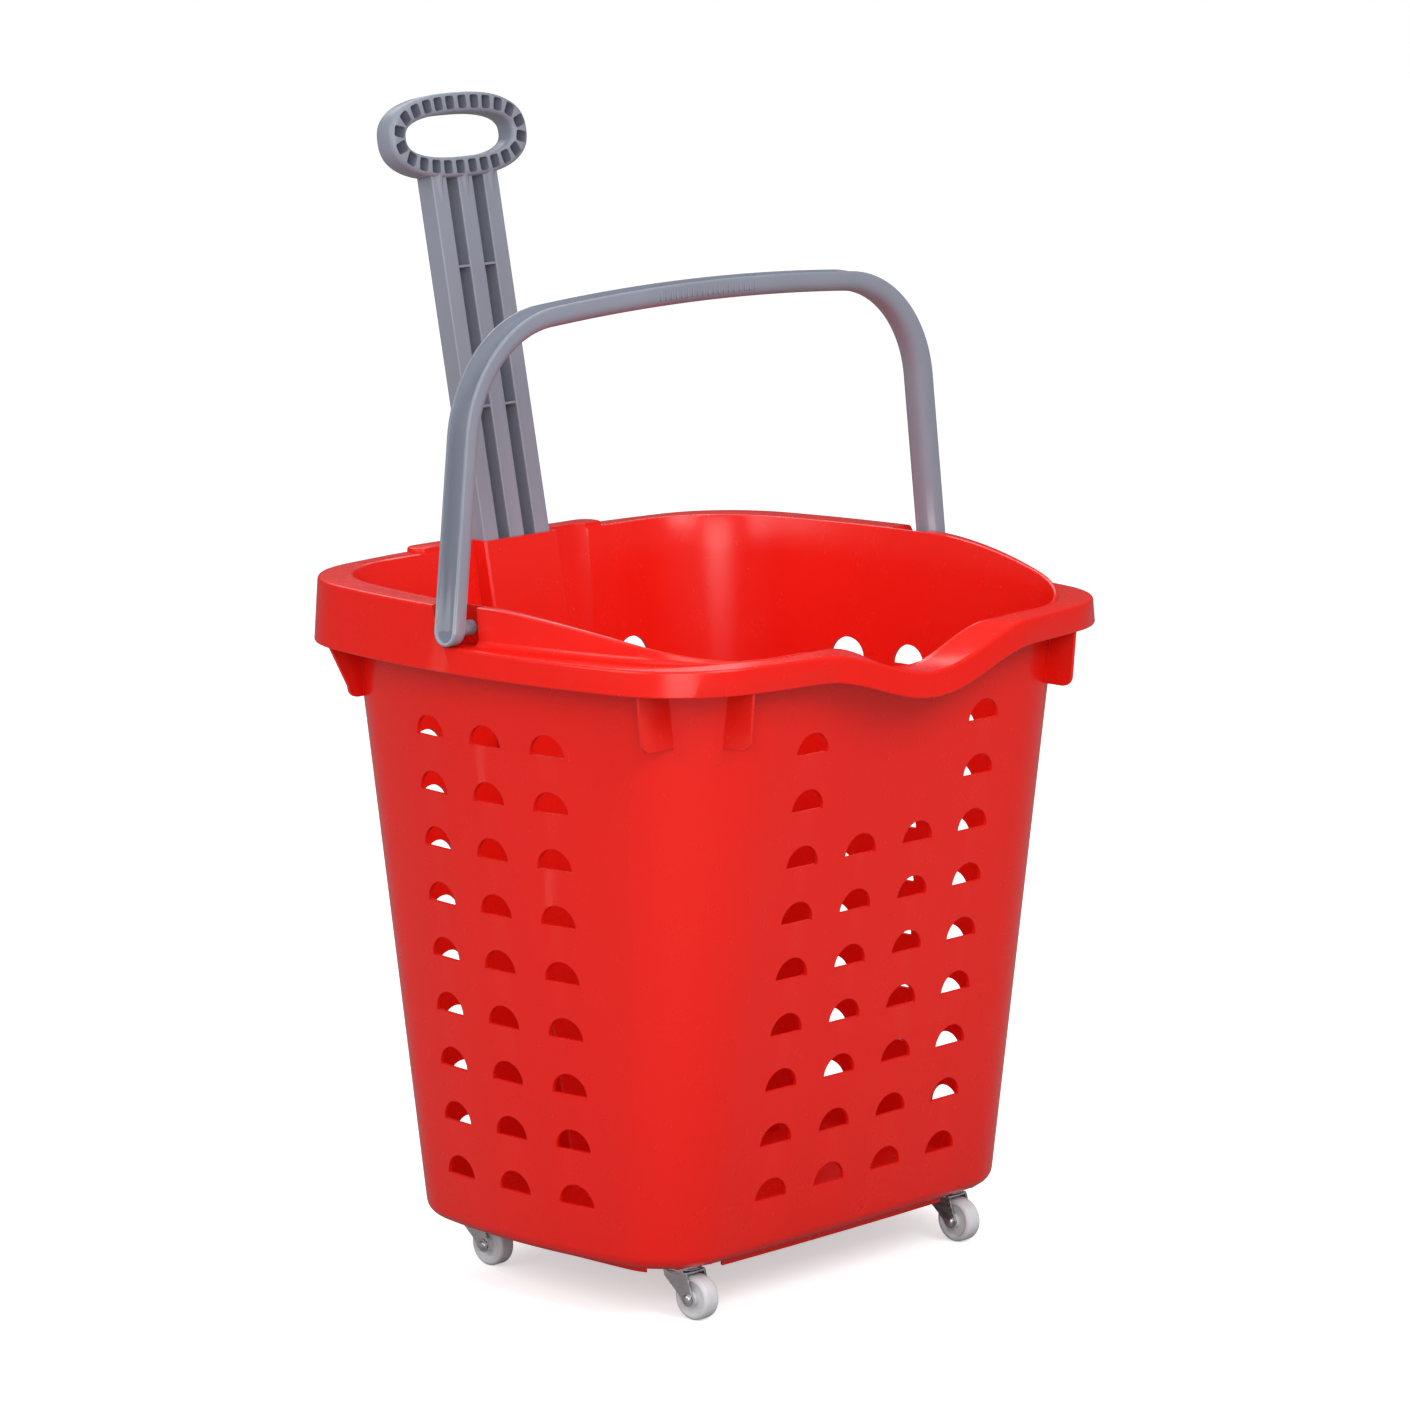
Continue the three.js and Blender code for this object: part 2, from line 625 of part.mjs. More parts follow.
// Stations of the arch's outer face from the left foot to the right foot: position in XZ and
// the outward direction there.
function archStations() {
  const topTurn = Math.asin(BAIL_CORNER_START / BAIL_TOP_RADIUS);
  const topCentre = [0, BAIL_TOP - BAIL_TOP_RADIUS];
  const cornerCentre = [
    BAIL_CORNER_START - BAIL_CORNER_RADIUS * Math.sin(topTurn),
    topCentre[1] + (BAIL_TOP_RADIUS - BAIL_CORNER_RADIUS) * Math.cos(topTurn),
  ];
  const along = (centre, radius, angle) => ({
    x: centre[0] + radius * Math.cos(angle),
    z: centre[1] + radius * Math.sin(angle),
    angle,
  });
  const cornerSteps = 6;
  const corner = Array.from({ length: cornerSteps + 1 }, (_, i) => {
    const angle = THREE.MathUtils.lerp(BAIL_LEG_LEAN, Math.PI / 2 - topTurn, i / cornerSteps);
    return along(cornerCentre, BAIL_CORNER_RADIUS, angle);
  });
  const top = [2 / 3, 1 / 3].map((share) =>
    along(topCentre, BAIL_TOP_RADIUS, Math.PI / 2 - topTurn * share),
  );
  const legLength = (corner[0].z - BAIL_PIVOT.z) / Math.cos(BAIL_LEG_LEAN);
  const foot = {
    x: corner[0].x + legLength * Math.sin(BAIL_LEG_LEAN),
    z: BAIL_PIVOT.z,
    angle: BAIL_LEG_LEAN,
  };
  const right = [foot, ...corner, ...top];
  const left = right.map(({ x, z, angle }) => ({ x: -x, z, angle: Math.PI - angle }));
  return [...right, { x: 0, z: BAIL_TOP, angle: Math.PI / 2 }, ...left.toReversed()];
}

// A section of [outward, y] points swept along the arch.
function archSweep(section) {
  const rings = archStations().map(({ x, z, angle }) =>
    section.map(
      ([out, y]) =>
        new THREE.Vector3(x + out * Math.cos(angle), BAIL_PIVOT.y + y, z + out * Math.sin(angle)),
    ),
  );
  return loft(rings);
}

// Half-round section: flat on the outer face, rounded towards the inside of the arch.
function bailSection(half, out, depth, round, steps) {
  const low = arcPoints([round - depth, round - half], round, Math.PI * 1.5, Math.PI, steps);
  const high = arcPoints([round - depth, half - round], round, Math.PI, Math.PI / 2, steps);
  return [[out, -half], ...low, ...high, [out, half]].toReversed();
}

// The arch, with a snap spigot moulded on each foot that turns in the basket's wall.
function bailHandle() {
  const half = BAIL_WIDTH / 2;
  const channelHalf = half - BAIL_WALL;
  const channelDepth = BAIL_DEPTH - BAIL_WALL;
  const outer = archSweep(bailSection(half, 0, BAIL_DEPTH, BAIL_ROUND, 3));
  const channel = archSweep(bailSection(channelHalf, 6, channelDepth, BAIL_ROUND - 3, 2));
  const inside = BAIL_FOOT_X - BAIL_DEPTH;
  const round = arcPoints([half - BAIL_ROUND, inside + BAIL_ROUND], BAIL_ROUND, -Math.PI / 2, 0, 3);
  const foot = turned([[0, inside], ...round, [half, BAIL_FOOT_X], [0, BAIL_FOOT_X]], 20);
  const boss = rod(BAIL_BOSS_RADIUS, POCKET_X + 2 * GAP, inside + 5, 14);
  const seat = rod(channelHalf, inside + BAIL_WALL, BAIL_FOOT_X + 3, 14);
  const barbFace = POCKET_X - WALL - 3 * GAP;
  const spigot = turned(
    [
      [0, barbFace - 5],
      [PIN_RADIUS - 1, barbFace - 5],
      [PIN_RADIUS + PIN_BARB, barbFace - 1.6],
      [PIN_RADIUS + PIN_BARB, barbFace],
      [PIN_RADIUS, barbFace],
      [PIN_RADIUS, inside],
      [0, inside],
    ],
    SHAFT_SIDES,
  );
  const atFoot = (solid, side) => {
    const placed = alongX(solid).translate([0, BAIL_PIVOT.y, BAIL_PIVOT.z]);
    return side > 0 ? placed : placed.mirror([1, 0, 0]);
  };
  const both = (solid) => atFoot(solid, 1).add(atFoot(solid, -1));
  return outer.add(both(join([foot, boss, spigot]))).subtract(channel).subtract(both(seat));
}

// ---------------------------------------------------------------- pull handle

// Cross-section of the bar in (x, d): three hollow flats joined by two grooves.
function barSection() {
  const pitch = BAR_FLAT + BAR_GROOVE;
  const front = [-1, 0, 1].flatMap((step) => [
    [step * pitch - BAR_FLAT / 2, step < 0 ? BAR_DEPTH : BAR_DEPTH - BAR_WALL],
    [step * pitch - BAR_FLAT / 2, 0],
    [step * pitch + BAR_FLAT / 2, 0],
    [step * pitch + BAR_FLAT / 2, step > 0 ? BAR_DEPTH : BAR_DEPTH - BAR_WALL],
  ]);
  const back = [1, 0, -1].flatMap((step) => [
    [step * pitch + BAR_FLAT / 2 - BAR_WALL, BAR_DEPTH],
    [step * pitch + BAR_FLAT / 2 - BAR_WALL, BAR_WALL],
    [step * pitch - BAR_FLAT / 2 + BAR_WALL, BAR_WALL],
    [step * pitch - BAR_FLAT / 2 + BAR_WALL, BAR_DEPTH],
  ]);
  return [...front, ...back];
}

// An oval of the grip, flatter on top than a true ellipse.
function gripOval(by, count) {
  const flatten = 2 / 2.5;
  return Array.from({ length: count }, (_, i) => {
    const angle = (2 * Math.PI * i) / count;
    const bend = (value) => Math.sign(value) * Math.abs(value) ** flatten;
    return [
      (GRIP_HALF.x - by) * bend(Math.cos(angle)),
      (GRIP_HALF.s - by) * bend(Math.sin(angle)),
    ];
  });
}

function gripRing() {
  const depth = GRIP_DEPTH.back - GRIP_DEPTH.front;
  const ring = extruded(gripOval(0, 32), depth, [gripOval(GRIP_BAND, 24)]);
  const solid = toSolid(ring.rotateX(Math.PI / 2).translate(0, GRIP_DEPTH.back, 0));
  return solid.translate([0, 0, GRIP_CENTRE]);
}

// Finger pockets all round the grip's front face.
function gripPockets() {
  const middle = gripOval(GRIP_BAND / 2, GRIP_POCKETS * 8);
  const lengths = [0];
  middle.forEach(([x, s], i) => {
    const [nx, ns] = middle[(i + 1) % middle.length];
    lengths.push(lengths[i] + Math.hypot(nx - x, ns - s));
  });
  const pitch = lengths.at(-1) / GRIP_POCKETS;
  const { halfLength, halfWidth, floor } = GRIP_POCKET;
  const pocket = boxBetween(
    [-halfLength, GRIP_DEPTH.front - 1, -halfWidth],
    [halfLength, GRIP_DEPTH.back - floor, halfWidth],
  );
  const pockets = Array.from({ length: GRIP_POCKETS }, (_, k) => {
    const i = lengths.findIndex((length) => length >= (k + 0.5) * pitch) % middle.length;
    const [x, s] = middle[i];
    const [nx, ns] = middle[(i + 1) % middle.length];
    const turn = THREE.MathUtils.radToDeg(Math.atan2(ns - s, nx - x));
    return pocket.rotate([0, 90 - turn, 0]).translate([x, 0, GRIP_CENTRE + s]);
  });
  return join(pockets);
}

function pullHandle() {
  const top = GRIP_CENTRE - GRIP_HALF.s + 4;
  const bar = toSolid(extruded(barSection(), top - BAR_BOTTOM).translate(0, 0, BAR_BOTTOM));
  const pitch = BAR_FLAT + BAR_GROOVE;
  const rib = boxBetween(
    [-BAR_GROOVE / 2 - 1, 1, -BAR_RIB_THICKNESS / 2],
    [BAR_GROOVE / 2 + 1, BAR_DEPTH - 1, BAR_RIB_THICKNESS / 2],
  );
  const ribs = Array.from({ length: BAR_RIB_COUNT }, (_, k) => BAR_RIB_TOP - k * BAR_RIB_PITCH)
    .flatMap((s) => [-pitch / 2, pitch / 2].map((x) => rib.translate([x, 0, s])));
  const lug = boxBetween(
    [barHalfWidth - BAR_WALL, 3, BAR_BOTTOM],
    [barHalfWidth + BAR_LUG.reach, BAR_DEPTH - 3, BAR_BOTTOM + BAR_LUG.height],
  );
  const lugs = [lug, lug.mirror([1, 0, 0])];
  const head = gripRing().subtract(gripPockets());
  return onSlide(join([bar, ...ribs, ...lugs, head]));
}

// ---------------------------------------------------------------- casters

const axleHeight = WHEEL_RADIUS;
const plateTop = FLOOR_UNDERSIDE - GAP;
const plateBottom = plateTop - PLATE.thickness;

function casterPlate() {
  const flat = boxBetween(
    [-PLATE.halfX, -PLATE.halfY, plateBottom],
    [PLATE.halfX, PLATE.halfY, plateTop],
  );
  const screwHole = rod(SCREW_RADIUS + GAP, plateBottom - 1, plateTop + 1, SCREW_SIDES);
  const drills = screwPlaces.map(([x, y]) => screwHole.translate([x, y, 0]));
  const rivetHole = rod(KINGPIN_RADIUS + GAP, plateBottom - 1, plateTop + 1, SHAFT_SIDES);
  return flat.subtract(join([rivetHole, ...drills]));
}

function swivelBearing() {
  const bottom = FORK_TOP + GAP;
  const top = plateBottom - GAP;
  return turned(
    [
      [KINGPIN_RADIUS + GAP, bottom],
      [BEARING_RADIUS - 1, bottom],
      [BEARING_RADIUS, bottom + 0.8],
      [BEARING_RADIUS, top],
      [KINGPIN_RADIUS + GAP, top],
      [KINGPIN_RADIUS + GAP, bottom],
    ],
    SHAFT_SIDES,
  );
}

function kingpinRivet() {
  const crownUnderside = FORK_TOP - FORK_THICKNESS;
  return turned(
    [
      [0, crownUnderside - GAP - 2],
      [KINGPIN_HEAD_RADIUS - 1, crownUnderside - GAP - 2],
      [KINGPIN_HEAD_RADIUS, crownUnderside - GAP],
      [KINGPIN_RADIUS, crownUnderside - GAP],
      [KINGPIN_RADIUS, plateTop + GAP],
      [KINGPIN_HEAD_RADIUS - 0.4, plateTop + GAP],
      [KINGPIN_HEAD_RADIUS - 1, kingpinTop],
      [0, kingpinTop],
    ],
    SHAFT_SIDES,
  );
}

function mountingScrew() {
  const headTop = plateBottom - GAP;
  return turned(
    [
      [0, headTop - 2],
      [SCREW_HEAD_RADIUS - 1, headTop - 2],
      [SCREW_HEAD_RADIUS, headTop],
      [SCREW_RADIUS, headTop],
      [SCREW_RADIUS, screwTop - 2],
      [0, screwTop],
    ],
    SCREW_SIDES,
  );
}

// Pressed fork: a crown plate and two legs that slant forward to the axle.
function casterFork() {
  const outer = FORK_INNER + FORK_THICKNESS;
  const crownBottom = FORK_TOP - FORK_THICKNESS;
  const crown = boxBetween([-outer, -11, crownBottom], [outer, 10, FORK_TOP]);
  const disc = rod(BEARING_RADIUS, crownBottom, FORK_TOP, 12);
  const outline = [
    [10, FORK_TOP],
    [-11, FORK_TOP],
    [-11, crownBottom - 2],
    ...arcPoints([-TRAIL, axleHeight], FORK_END_RADIUS, Math.PI, Math.PI * 1.8, 4),
    [10, crownBottom - 2],
  ];
  const leg = toSolid(extruded(outline, FORK_THICKNESS).rotateY(Math.PI / 2).rotateX(Math.PI / 2));
  const legs = [leg.translate([FORK_INNER, 0, 0]), leg.translate([-outer, 0, 0])];
  const bore = rod(KINGPIN_RADIUS + GAP, crownBottom - 1, FORK_TOP + 1, SHAFT_SIDES);
  const drill = alongX(rod(AXLE_RADIUS + GAP, -outer - 1, outer + 1, SHAFT_SIDES));
  const axleBore = drill.translate([0, -TRAIL, axleHeight]);
  return join([crown, disc, ...legs]).subtract(bore).subtract(axleBore);
}

// The wheel stands on a flat of its tread, so the tread's corners lie just outside its radius.
function casterWheel() {
  const half = WHEEL_WIDTH / 2;
  const treadRadius = WHEEL_RADIUS / Math.cos(Math.PI / WHEEL_SIDES);
  const hubHalf = FORK_INNER - GAP;
  const bore = AXLE_RADIUS + GAP;
  const side = [
    [bore, hubHalf],
    [HUB_RADIUS, hubHalf],
    [HUB_RADIUS + 0.4, half - WHEEL_RECESS],
    [WHEEL_RADIUS - 4.2, half - WHEEL_RECESS],
    [WHEEL_RADIUS - 3.4, half],
    [WHEEL_RADIUS - 1.6, half],
    [treadRadius, half - 2.6],
  ];
  const otherSide = side.toReversed().map(([radius, x]) => [radius, -x]);
  const tyre = turned([...side, ...otherSide, side[0]], WHEEL_SIDES);
  return alongX(tyre.rotate([0, 0, 180 / WHEEL_SIDES])).translate([0, -TRAIL, axleHeight]);
}

function axleBolt() {
  const face = FORK_INNER + FORK_THICKNESS + GAP;
  const bolt = turned(
    [
      [0, -face - 1.9],
      [BOLT_HEAD_RADIUS - 1.6, -face - 1.9],
      [BOLT_HEAD_RADIUS, -face - 0.9],
      [BOLT_HEAD_RADIUS, -face],
      [AXLE_RADIUS, -face],
      [AXLE_RADIUS, face + NUT_THICKNESS + 0.8],
      [0, face + NUT_THICKNESS + 0.8],
    ],
    SHAFT_SIDES,
  );
  return alongX(bolt).translate([0, -TRAIL, axleHeight]);
}

function axleNut() {
  const face = FORK_INNER + FORK_THICKNESS + GAP;
  const hexagon = rod(NUT_RADIUS, face, face + NUT_THICKNESS, 6);
  const bore = rod(AXLE_RADIUS + GAP, face - 1, face + NUT_THICKNESS + 1, SHAFT_SIDES);
  return alongX(hexagon.subtract(bore)).translate([0, -TRAIL, axleHeight]);
}

function caster(place, x, y) {
  const group = new THREE.Group();
  group.position.set(x, y, 0);
  const add = (name, solid, material) =>
    group.add(meshOf(`${name}_${place}`, solid, material));
  add("caster_plate", casterPlate(), ZINC);
  add("swivel_bearing", swivelBearing(), ZINC);
  add("kingpin_rivet", kingpinRivet(), ZINC);
  add("caster_fork", casterFork(), ZINC);
  add("caster_wheel", casterWheel(), WHITE_NYLON);
  add("axle_bolt", axleBolt(), ZINC);
  add("axle_nut", axleNut(), ZINC);
  screwPlaces.forEach(([sx, sy], i) =>
    add(`mounting_screw_${i + 1}`, mountingScrew().translate([sx, sy, 0]), ZINC),
  );
  return group;
}

// ---------------------------------------------------------------- trolley

const assembly = new THREE.Group();
assembly.position.y = -MIDDLE_Y;
assembly.add(meshOf("basket_tub", basketTub(), RED_PLASTIC));
assembly.add(meshOf("bail_handle", bailHandle(), GREY_PLASTIC));
assembly.add(meshOf("pull_handle", pullHandle(), GREY_PLASTIC));
casterPlaces.forEach(([place, x, y]) => assembly.add(caster(place, x, y)));

const trolley = new THREE.Group();
trolley.add(assembly);

export default trolley;
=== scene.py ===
"""Looks of the rolling basket trolley: moulded tub, carry bail, pull handle and four casters.

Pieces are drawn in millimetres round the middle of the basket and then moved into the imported
frame. X runs along the bail's hinge line, the dipped front faces -Y, and Z is up.
"""
import json
import math

import bmesh
import bpy
import numpy as np
from mathutils import Matrix, Vector


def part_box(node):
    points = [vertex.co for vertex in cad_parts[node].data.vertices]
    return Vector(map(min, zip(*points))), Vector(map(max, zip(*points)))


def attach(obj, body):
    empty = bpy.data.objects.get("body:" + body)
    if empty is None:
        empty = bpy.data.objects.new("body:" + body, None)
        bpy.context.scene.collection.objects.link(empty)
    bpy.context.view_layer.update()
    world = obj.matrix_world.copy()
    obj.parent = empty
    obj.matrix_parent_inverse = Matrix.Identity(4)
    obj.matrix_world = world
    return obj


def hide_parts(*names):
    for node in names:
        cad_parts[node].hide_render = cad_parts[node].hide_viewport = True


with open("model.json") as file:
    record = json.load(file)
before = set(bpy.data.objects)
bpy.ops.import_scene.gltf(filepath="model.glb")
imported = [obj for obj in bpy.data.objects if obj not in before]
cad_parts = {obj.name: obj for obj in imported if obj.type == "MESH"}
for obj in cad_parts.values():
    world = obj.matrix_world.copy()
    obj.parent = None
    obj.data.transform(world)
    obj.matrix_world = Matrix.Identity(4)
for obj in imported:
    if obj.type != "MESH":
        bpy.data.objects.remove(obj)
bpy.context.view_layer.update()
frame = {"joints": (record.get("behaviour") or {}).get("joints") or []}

# ------------------------------------------------------------------ sizes, in millimetres
MM = 0.001
PLACES = ("front_left", "front_right", "rear_left", "rear_right")
JOINTS = {joint["name"]: joint for joint in frame["joints"]}

tub_lo, tub_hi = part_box("basket_tub")
SHIFT_Y = (tub_lo.y + tub_hi.y) / 2 / MM

CLEARANCE = 0.3  # between pieces that touch or turn in one another

# The outlines below are (half width, half depth, bow of each side, bow of front and back,
# corner radius). The wall's outline at height z is WALL_AT_GROUND + WALL_GROWTH * z.
WALL = 2.8
FLOOR_UNDERSIDE = 38.0
FLOOR_TOP = FLOOR_UNDERSIDE + 3
BOTTOM_ROUND = 10.0
WALL_AT_GROUND = np.array((179.5, 125.5, 15.0, 3.5, 50.0))
WALL_GROWTH = np.array((0.0713, 0.1342, 0.043, 0.003, 0.067))
RIM_OUTLINE = np.array((235.0, 210.0, 34.0, 33.0, 79.0))
FOOT_OUTLINE = np.array((157.5, 115.5, 3.0, 3.0, 40.0))
INSET = np.array((1.0, 1.0, 0.0, 0.0, 1.0))  # what 1 mm inwards changes in an outline
RIM_SHEET = 2.6
RIM_ROUND = 2.2
RIM_INNER_ROUND = 1.5
SKIRT_DRAFT = 0.08
SKIRT_BOTTOM = 433.0
LEDGE_TOP = 450.0
LEDGE_FILLET = 6.0
RIM_TOP = 475.5
LIP_START_Y = -19.0
LIP_END_Y = -178.0
LIP_FRONT_Z = 450.7
LIP_ROUND = 1.3
SHOULDER_REACH = 7.0
SHOULDER_Y = (-7.0, -150.0)
DIP_DEPTH = 21.6
DIP_HALF_WIDTH = 105.0

HOLE_PITCH = 55.4
HOLE_ROW_PITCH = 38.0
HOLE_FIRST_ROW = 84.0
HOLE_RADIUS = 14.2
HOLE_HALF_WIDTH = 14.6
HOLE_ROWS = 9
DIP_HOLE_ROWS = 7
SIDE_HOLE_CENTRE = 1.9
BACK_HOLE_X = 103.0

PIVOT = Vector(JOINTS["bail_fold"]["pos_m"]) / MM
PIVOT.y -= SHIFT_Y
BAIL_HALF_WIDTH = 10.0
BAIL_DEPTH = 14.0
BAIL_GROOVE = (7.6, 12.2)
BAIL_ROUND = 8.0
BAIL_LIP_ROUND = 1.2
BAIL_TOP = 669.2
BAIL_TOP_RADIUS = 1900.0
BAIL_CORNER_START = 142.0
BAIL_CORNER_RADIUS = 89.0
BAIL_LEAN = math.radians(6.5)
BOSS_RADIUS = 5.0
SPIGOT_RADIUS = 3.0
FOOT_SWING = 10.1  # the foot clears the slanted edge behind it as it turns
SPIGOT_SKIN = 0.9  # left of the wall behind the hole, so the inside stays plain

NOTCH_LEAN = math.radians(26.6)
NOTCH_BACK = (13.0, 453.8)
NOTCH_FRONT_Y = -7.0
POCKET_X = 212.6
POCKET_BACK_Y = 24.0

SLIDE_LEAN = math.atan2(JOINTS["handle_slide"]["axis"][1], JOINTS["handle_slide"]["axis"][2])
SLIDE_Y = 182.6
BAR_FLAT = 14.0
BAR_GROOVE = 10.5
BAR_PITCH = BAR_FLAT + BAR_GROOVE
BAR_HALF = (3 * BAR_FLAT + 2 * BAR_GROOVE) / 2
BAR_DEPTH = 15.0
BAR_WALL = 2.2
BAR_BOTTOM = -86.0
BAR_RIB_TOP = 193.2
BAR_RIB_PITCH = 98.0
GRIP_CENTRE = 284.2
GRIP_HALF = (64.7, 29.6)
GRIP_BAND = 14.5
GRIP_FRONT, GRIP_BACK = -2.5, 16.0
GRIP_POCKETS = 24

CHANNEL_HALF = 35.2
WELL_HALF = 37.9
WELL_WALL = 3.2
CHANNEL_PLAY = 0.8
CHANNEL_STOP = -77.7
CHANNEL_FRONT, CHANNEL_BACK = -4.2, 19.0
CHANNEL_CHAMFER = 1.6
CAP_TOP = 478.5
CAP_ROUND = 1.6
CAP_HALF_WIDTH = 89.0
CAP_Y = (184.0, 207.5)
BAY_FLAT_HALF = 57.0
BAY_BACK = 8.8
BAY_FILLET = 22.0
BAY_SIDE_ANGLE = math.radians(28)

TRAIL = 12.0
WHEEL_RADIUS = 15.0
FORK_INNER = 7.6
FORK_SHEET = 1.5
FORK_OUTER = FORK_INNER + FORK_SHEET
FORK_TOP = 32.7
PLATE_TOP = 37.7
PLATE_BOTTOM = 36.1
PLATE_HALF = (19.0, 14.0)
PLATE_CORNER = 3.0
PAD_HALF = (21.0, 15.5)
PAD_TOP = 47.0
HUB_BORE = 2.8
SCREWS = ((-14.5, -9.5), (14.5, -9.5), (-14.5, 9.5), (14.5, 9.5))


# ------------------------------------------------------------------ solids
def solid(points, faces):
    """A closed mesh with its normals facing outwards."""
    mesh = bpy.data.meshes.new("work")
    mesh.from_pydata([tuple(p) for p in points], [], faces)
    work = bmesh.new()
    work.from_mesh(mesh)
    bmesh.ops.remove_doubles(work, verts=work.verts, dist=1e-4)
    loose = [edge for edge in work.edges if not edge.link_faces]
    bmesh.ops.delete(work, geom=loose, context="EDGES")
    bmesh.ops.recalc_face_normals(work, faces=work.faces)
    work.to_mesh(mesh)
    work.free()
    return mesh


def loft(rings):
    """A solid skinned over rings of equal point counts, closed by a fan at each end."""
    count = len(rings[0])
    points = np.concatenate([*rings, [rings[0].mean(0)], [rings[-1].mean(0)]])
    faces = []
    for level in range(len(rings) - 1):
        for i in range(count):
            a, b = level * count + i, level * count + (i + 1) % count
            faces.append((a, b, b + count, a + count))
    bottom, last = len(rings) * count, (len(rings) - 1) * count
    for i in range(count):
        after = (i + 1) % count
        faces.append((bottom, after, i))
        faces.append((bottom + 1, last + i, last + after))
    return solid(points, faces)


def band(stations):
    """A closed tube: one closed profile at each station of a closed loop."""
    stations = np.asarray(stations)
    loop, size = stations.shape[:2]
    faces = []
    for s in range(loop):
        after = (s + 1) % loop
        for k in range(size):
            up = (k + 1) % size
            faces.append((s * size + k, s * size + up, after * size + up, after * size + k))
    return solid(stations.reshape(-1, 3), faces)


def prism(outline, low, high, axes="xyz"):
    """A flat outline of (u, v) pushed from low to high; axes names the u, v and push axes."""
    order = ["xyz".index(axis) for axis in axes]
    count = len(outline)
    points = np.zeros((2 * count, 3))
    for level, height in enumerate((low, high)):
        part = points[level * count:(level + 1) * count]
        part[:, order[0]] = [u for u, _ in outline]
        part[:, order[1]] = [v for _, v in outline]
        part[:, order[2]] = height
    faces = [tuple(range(count)), tuple(range(count, 2 * count))]
    for i in range(count):
        after = (i + 1) % count
        faces.append((i, after, count + after, count + i))
    return solid(points, faces)


def block(low, high):
    """A box between two corners, as a tool for cutting and joining."""
    outline = [(low[0], low[1]), (high[0], low[1]), (high[0], high[1]), (low[0], high[1])]
    return prism(outline, low[2], high[2])


def lathe(profile, segments=48):
    """A solid turned about Z from a closed profile of (radius, z)."""
    turn = np.linspace(0, 2 * math.pi, segments, endpoint=False)
    profile = np.array(profile)
    stations = [
        np.stack([profile[:, 0] * math.cos(t), profile[:, 0] * math.sin(t), profile[:, 1]], 1)
        for t in turn
    ]
    return band(stations)


def rod(radius, low, high, segments=48):
    """A plain cylinder on the Z axis."""
    return lathe([(0.0, low), (radius, low), (radius, high), (0.0, high)], segments)


def arc(centre, radius, start, end, steps):
    """Points of an arc; radius may be a pair for an ellipse."""
    ru, rv = radius if isinstance(radius, tuple) else (radius, radius)
    turn = np.linspace(start, end, steps + 1)
    return [(centre[0] + ru * math.cos(t), centre[1] + rv * math.sin(t)) for t in turn]


def rounded(half_u, low_v, high_v, corner, steps):
    """A rectangle with round corners, as an outline that starts at its (+u, +v) corner."""
    outline = []
    corners = ((half_u, high_v), (-half_u, high_v), (-half_u, low_v), (half_u, low_v))
    for k, (u, v) in enumerate(corners):
        centre = (u - math.copysign(corner, u), v - math.copysign(corner, v))
        start = k * math.pi / 2
        outline += arc(centre, corner, start, start + math.pi / 2, steps)
    return outline


def placed(mesh, *matrices):
    """A copy of a solid, moved by the matrices from right to left."""
    copy = mesh.copy()
    matrix = Matrix.Identity(4)
    for step in matrices:
        matrix = matrix @ step
    copy.transform(matrix)
    if matrix.determinant() < 0:
        copy.flip_normals()
    return copy


def shift(x, y, z):
    return Matrix.Translation((x, y, z))


def turn(axis, angle):
    return Matrix.Rotation(angle, 4, axis)


MIRROR_X = Matrix.Diagonal((-1, 1, 1, 1))
MIRROR_Y = Matrix.Diagonal((1, -1, 1, 1))
ALONG_X = turn("Y", math.pi / 2)
ON_SLIDE = shift(0, SLIDE_Y, RIM_TOP) @ turn("X", -SLIDE_LEAN)


def together(meshes):
    """Solids that don't touch, as one mesh."""
    points, faces, offset = [], [], 0
    for mesh in meshes:
        points += [tuple(v.co) for v in mesh.vertices]
        faces += [tuple(offset + i for i in face.vertices) for face in mesh.polygons]
        offset += len(mesh.vertices)
    return solid(points, faces)


def combine(mesh, steps):
    """Runs boolean steps of (operation, solid) on a solid."""
    body = bpy.data.objects.new("work", mesh)
    bpy.context.scene.collection.objects.link(body)
    tools = []
    for operation, other in steps:
        tool = bpy.data.objects.new("tool", other)
        bpy.context.scene.collection.objects.link(tool)
        tools.append(tool)
        step = body.modifiers.new("step", "BOOLEAN")
        step.operation = operation
        step.solver = "MANIFOLD"
        step.object = tool
    graph = bpy.context.evaluated_depsgraph_get()
    result = bpy.data.meshes.new_from_object(body.evaluated_get(graph))
    for item in [body, *tools]:
        bpy.data.objects.remove(item)
    return result


def joined(first, *others):
    return combine(first, [("UNION", other) for other in others])


def cut(first, *others):
    return combine(first, [("DIFFERENCE", other) for other in others])


def common(first, *others):
    return combine(first, [("INTERSECT", other) for other in others])


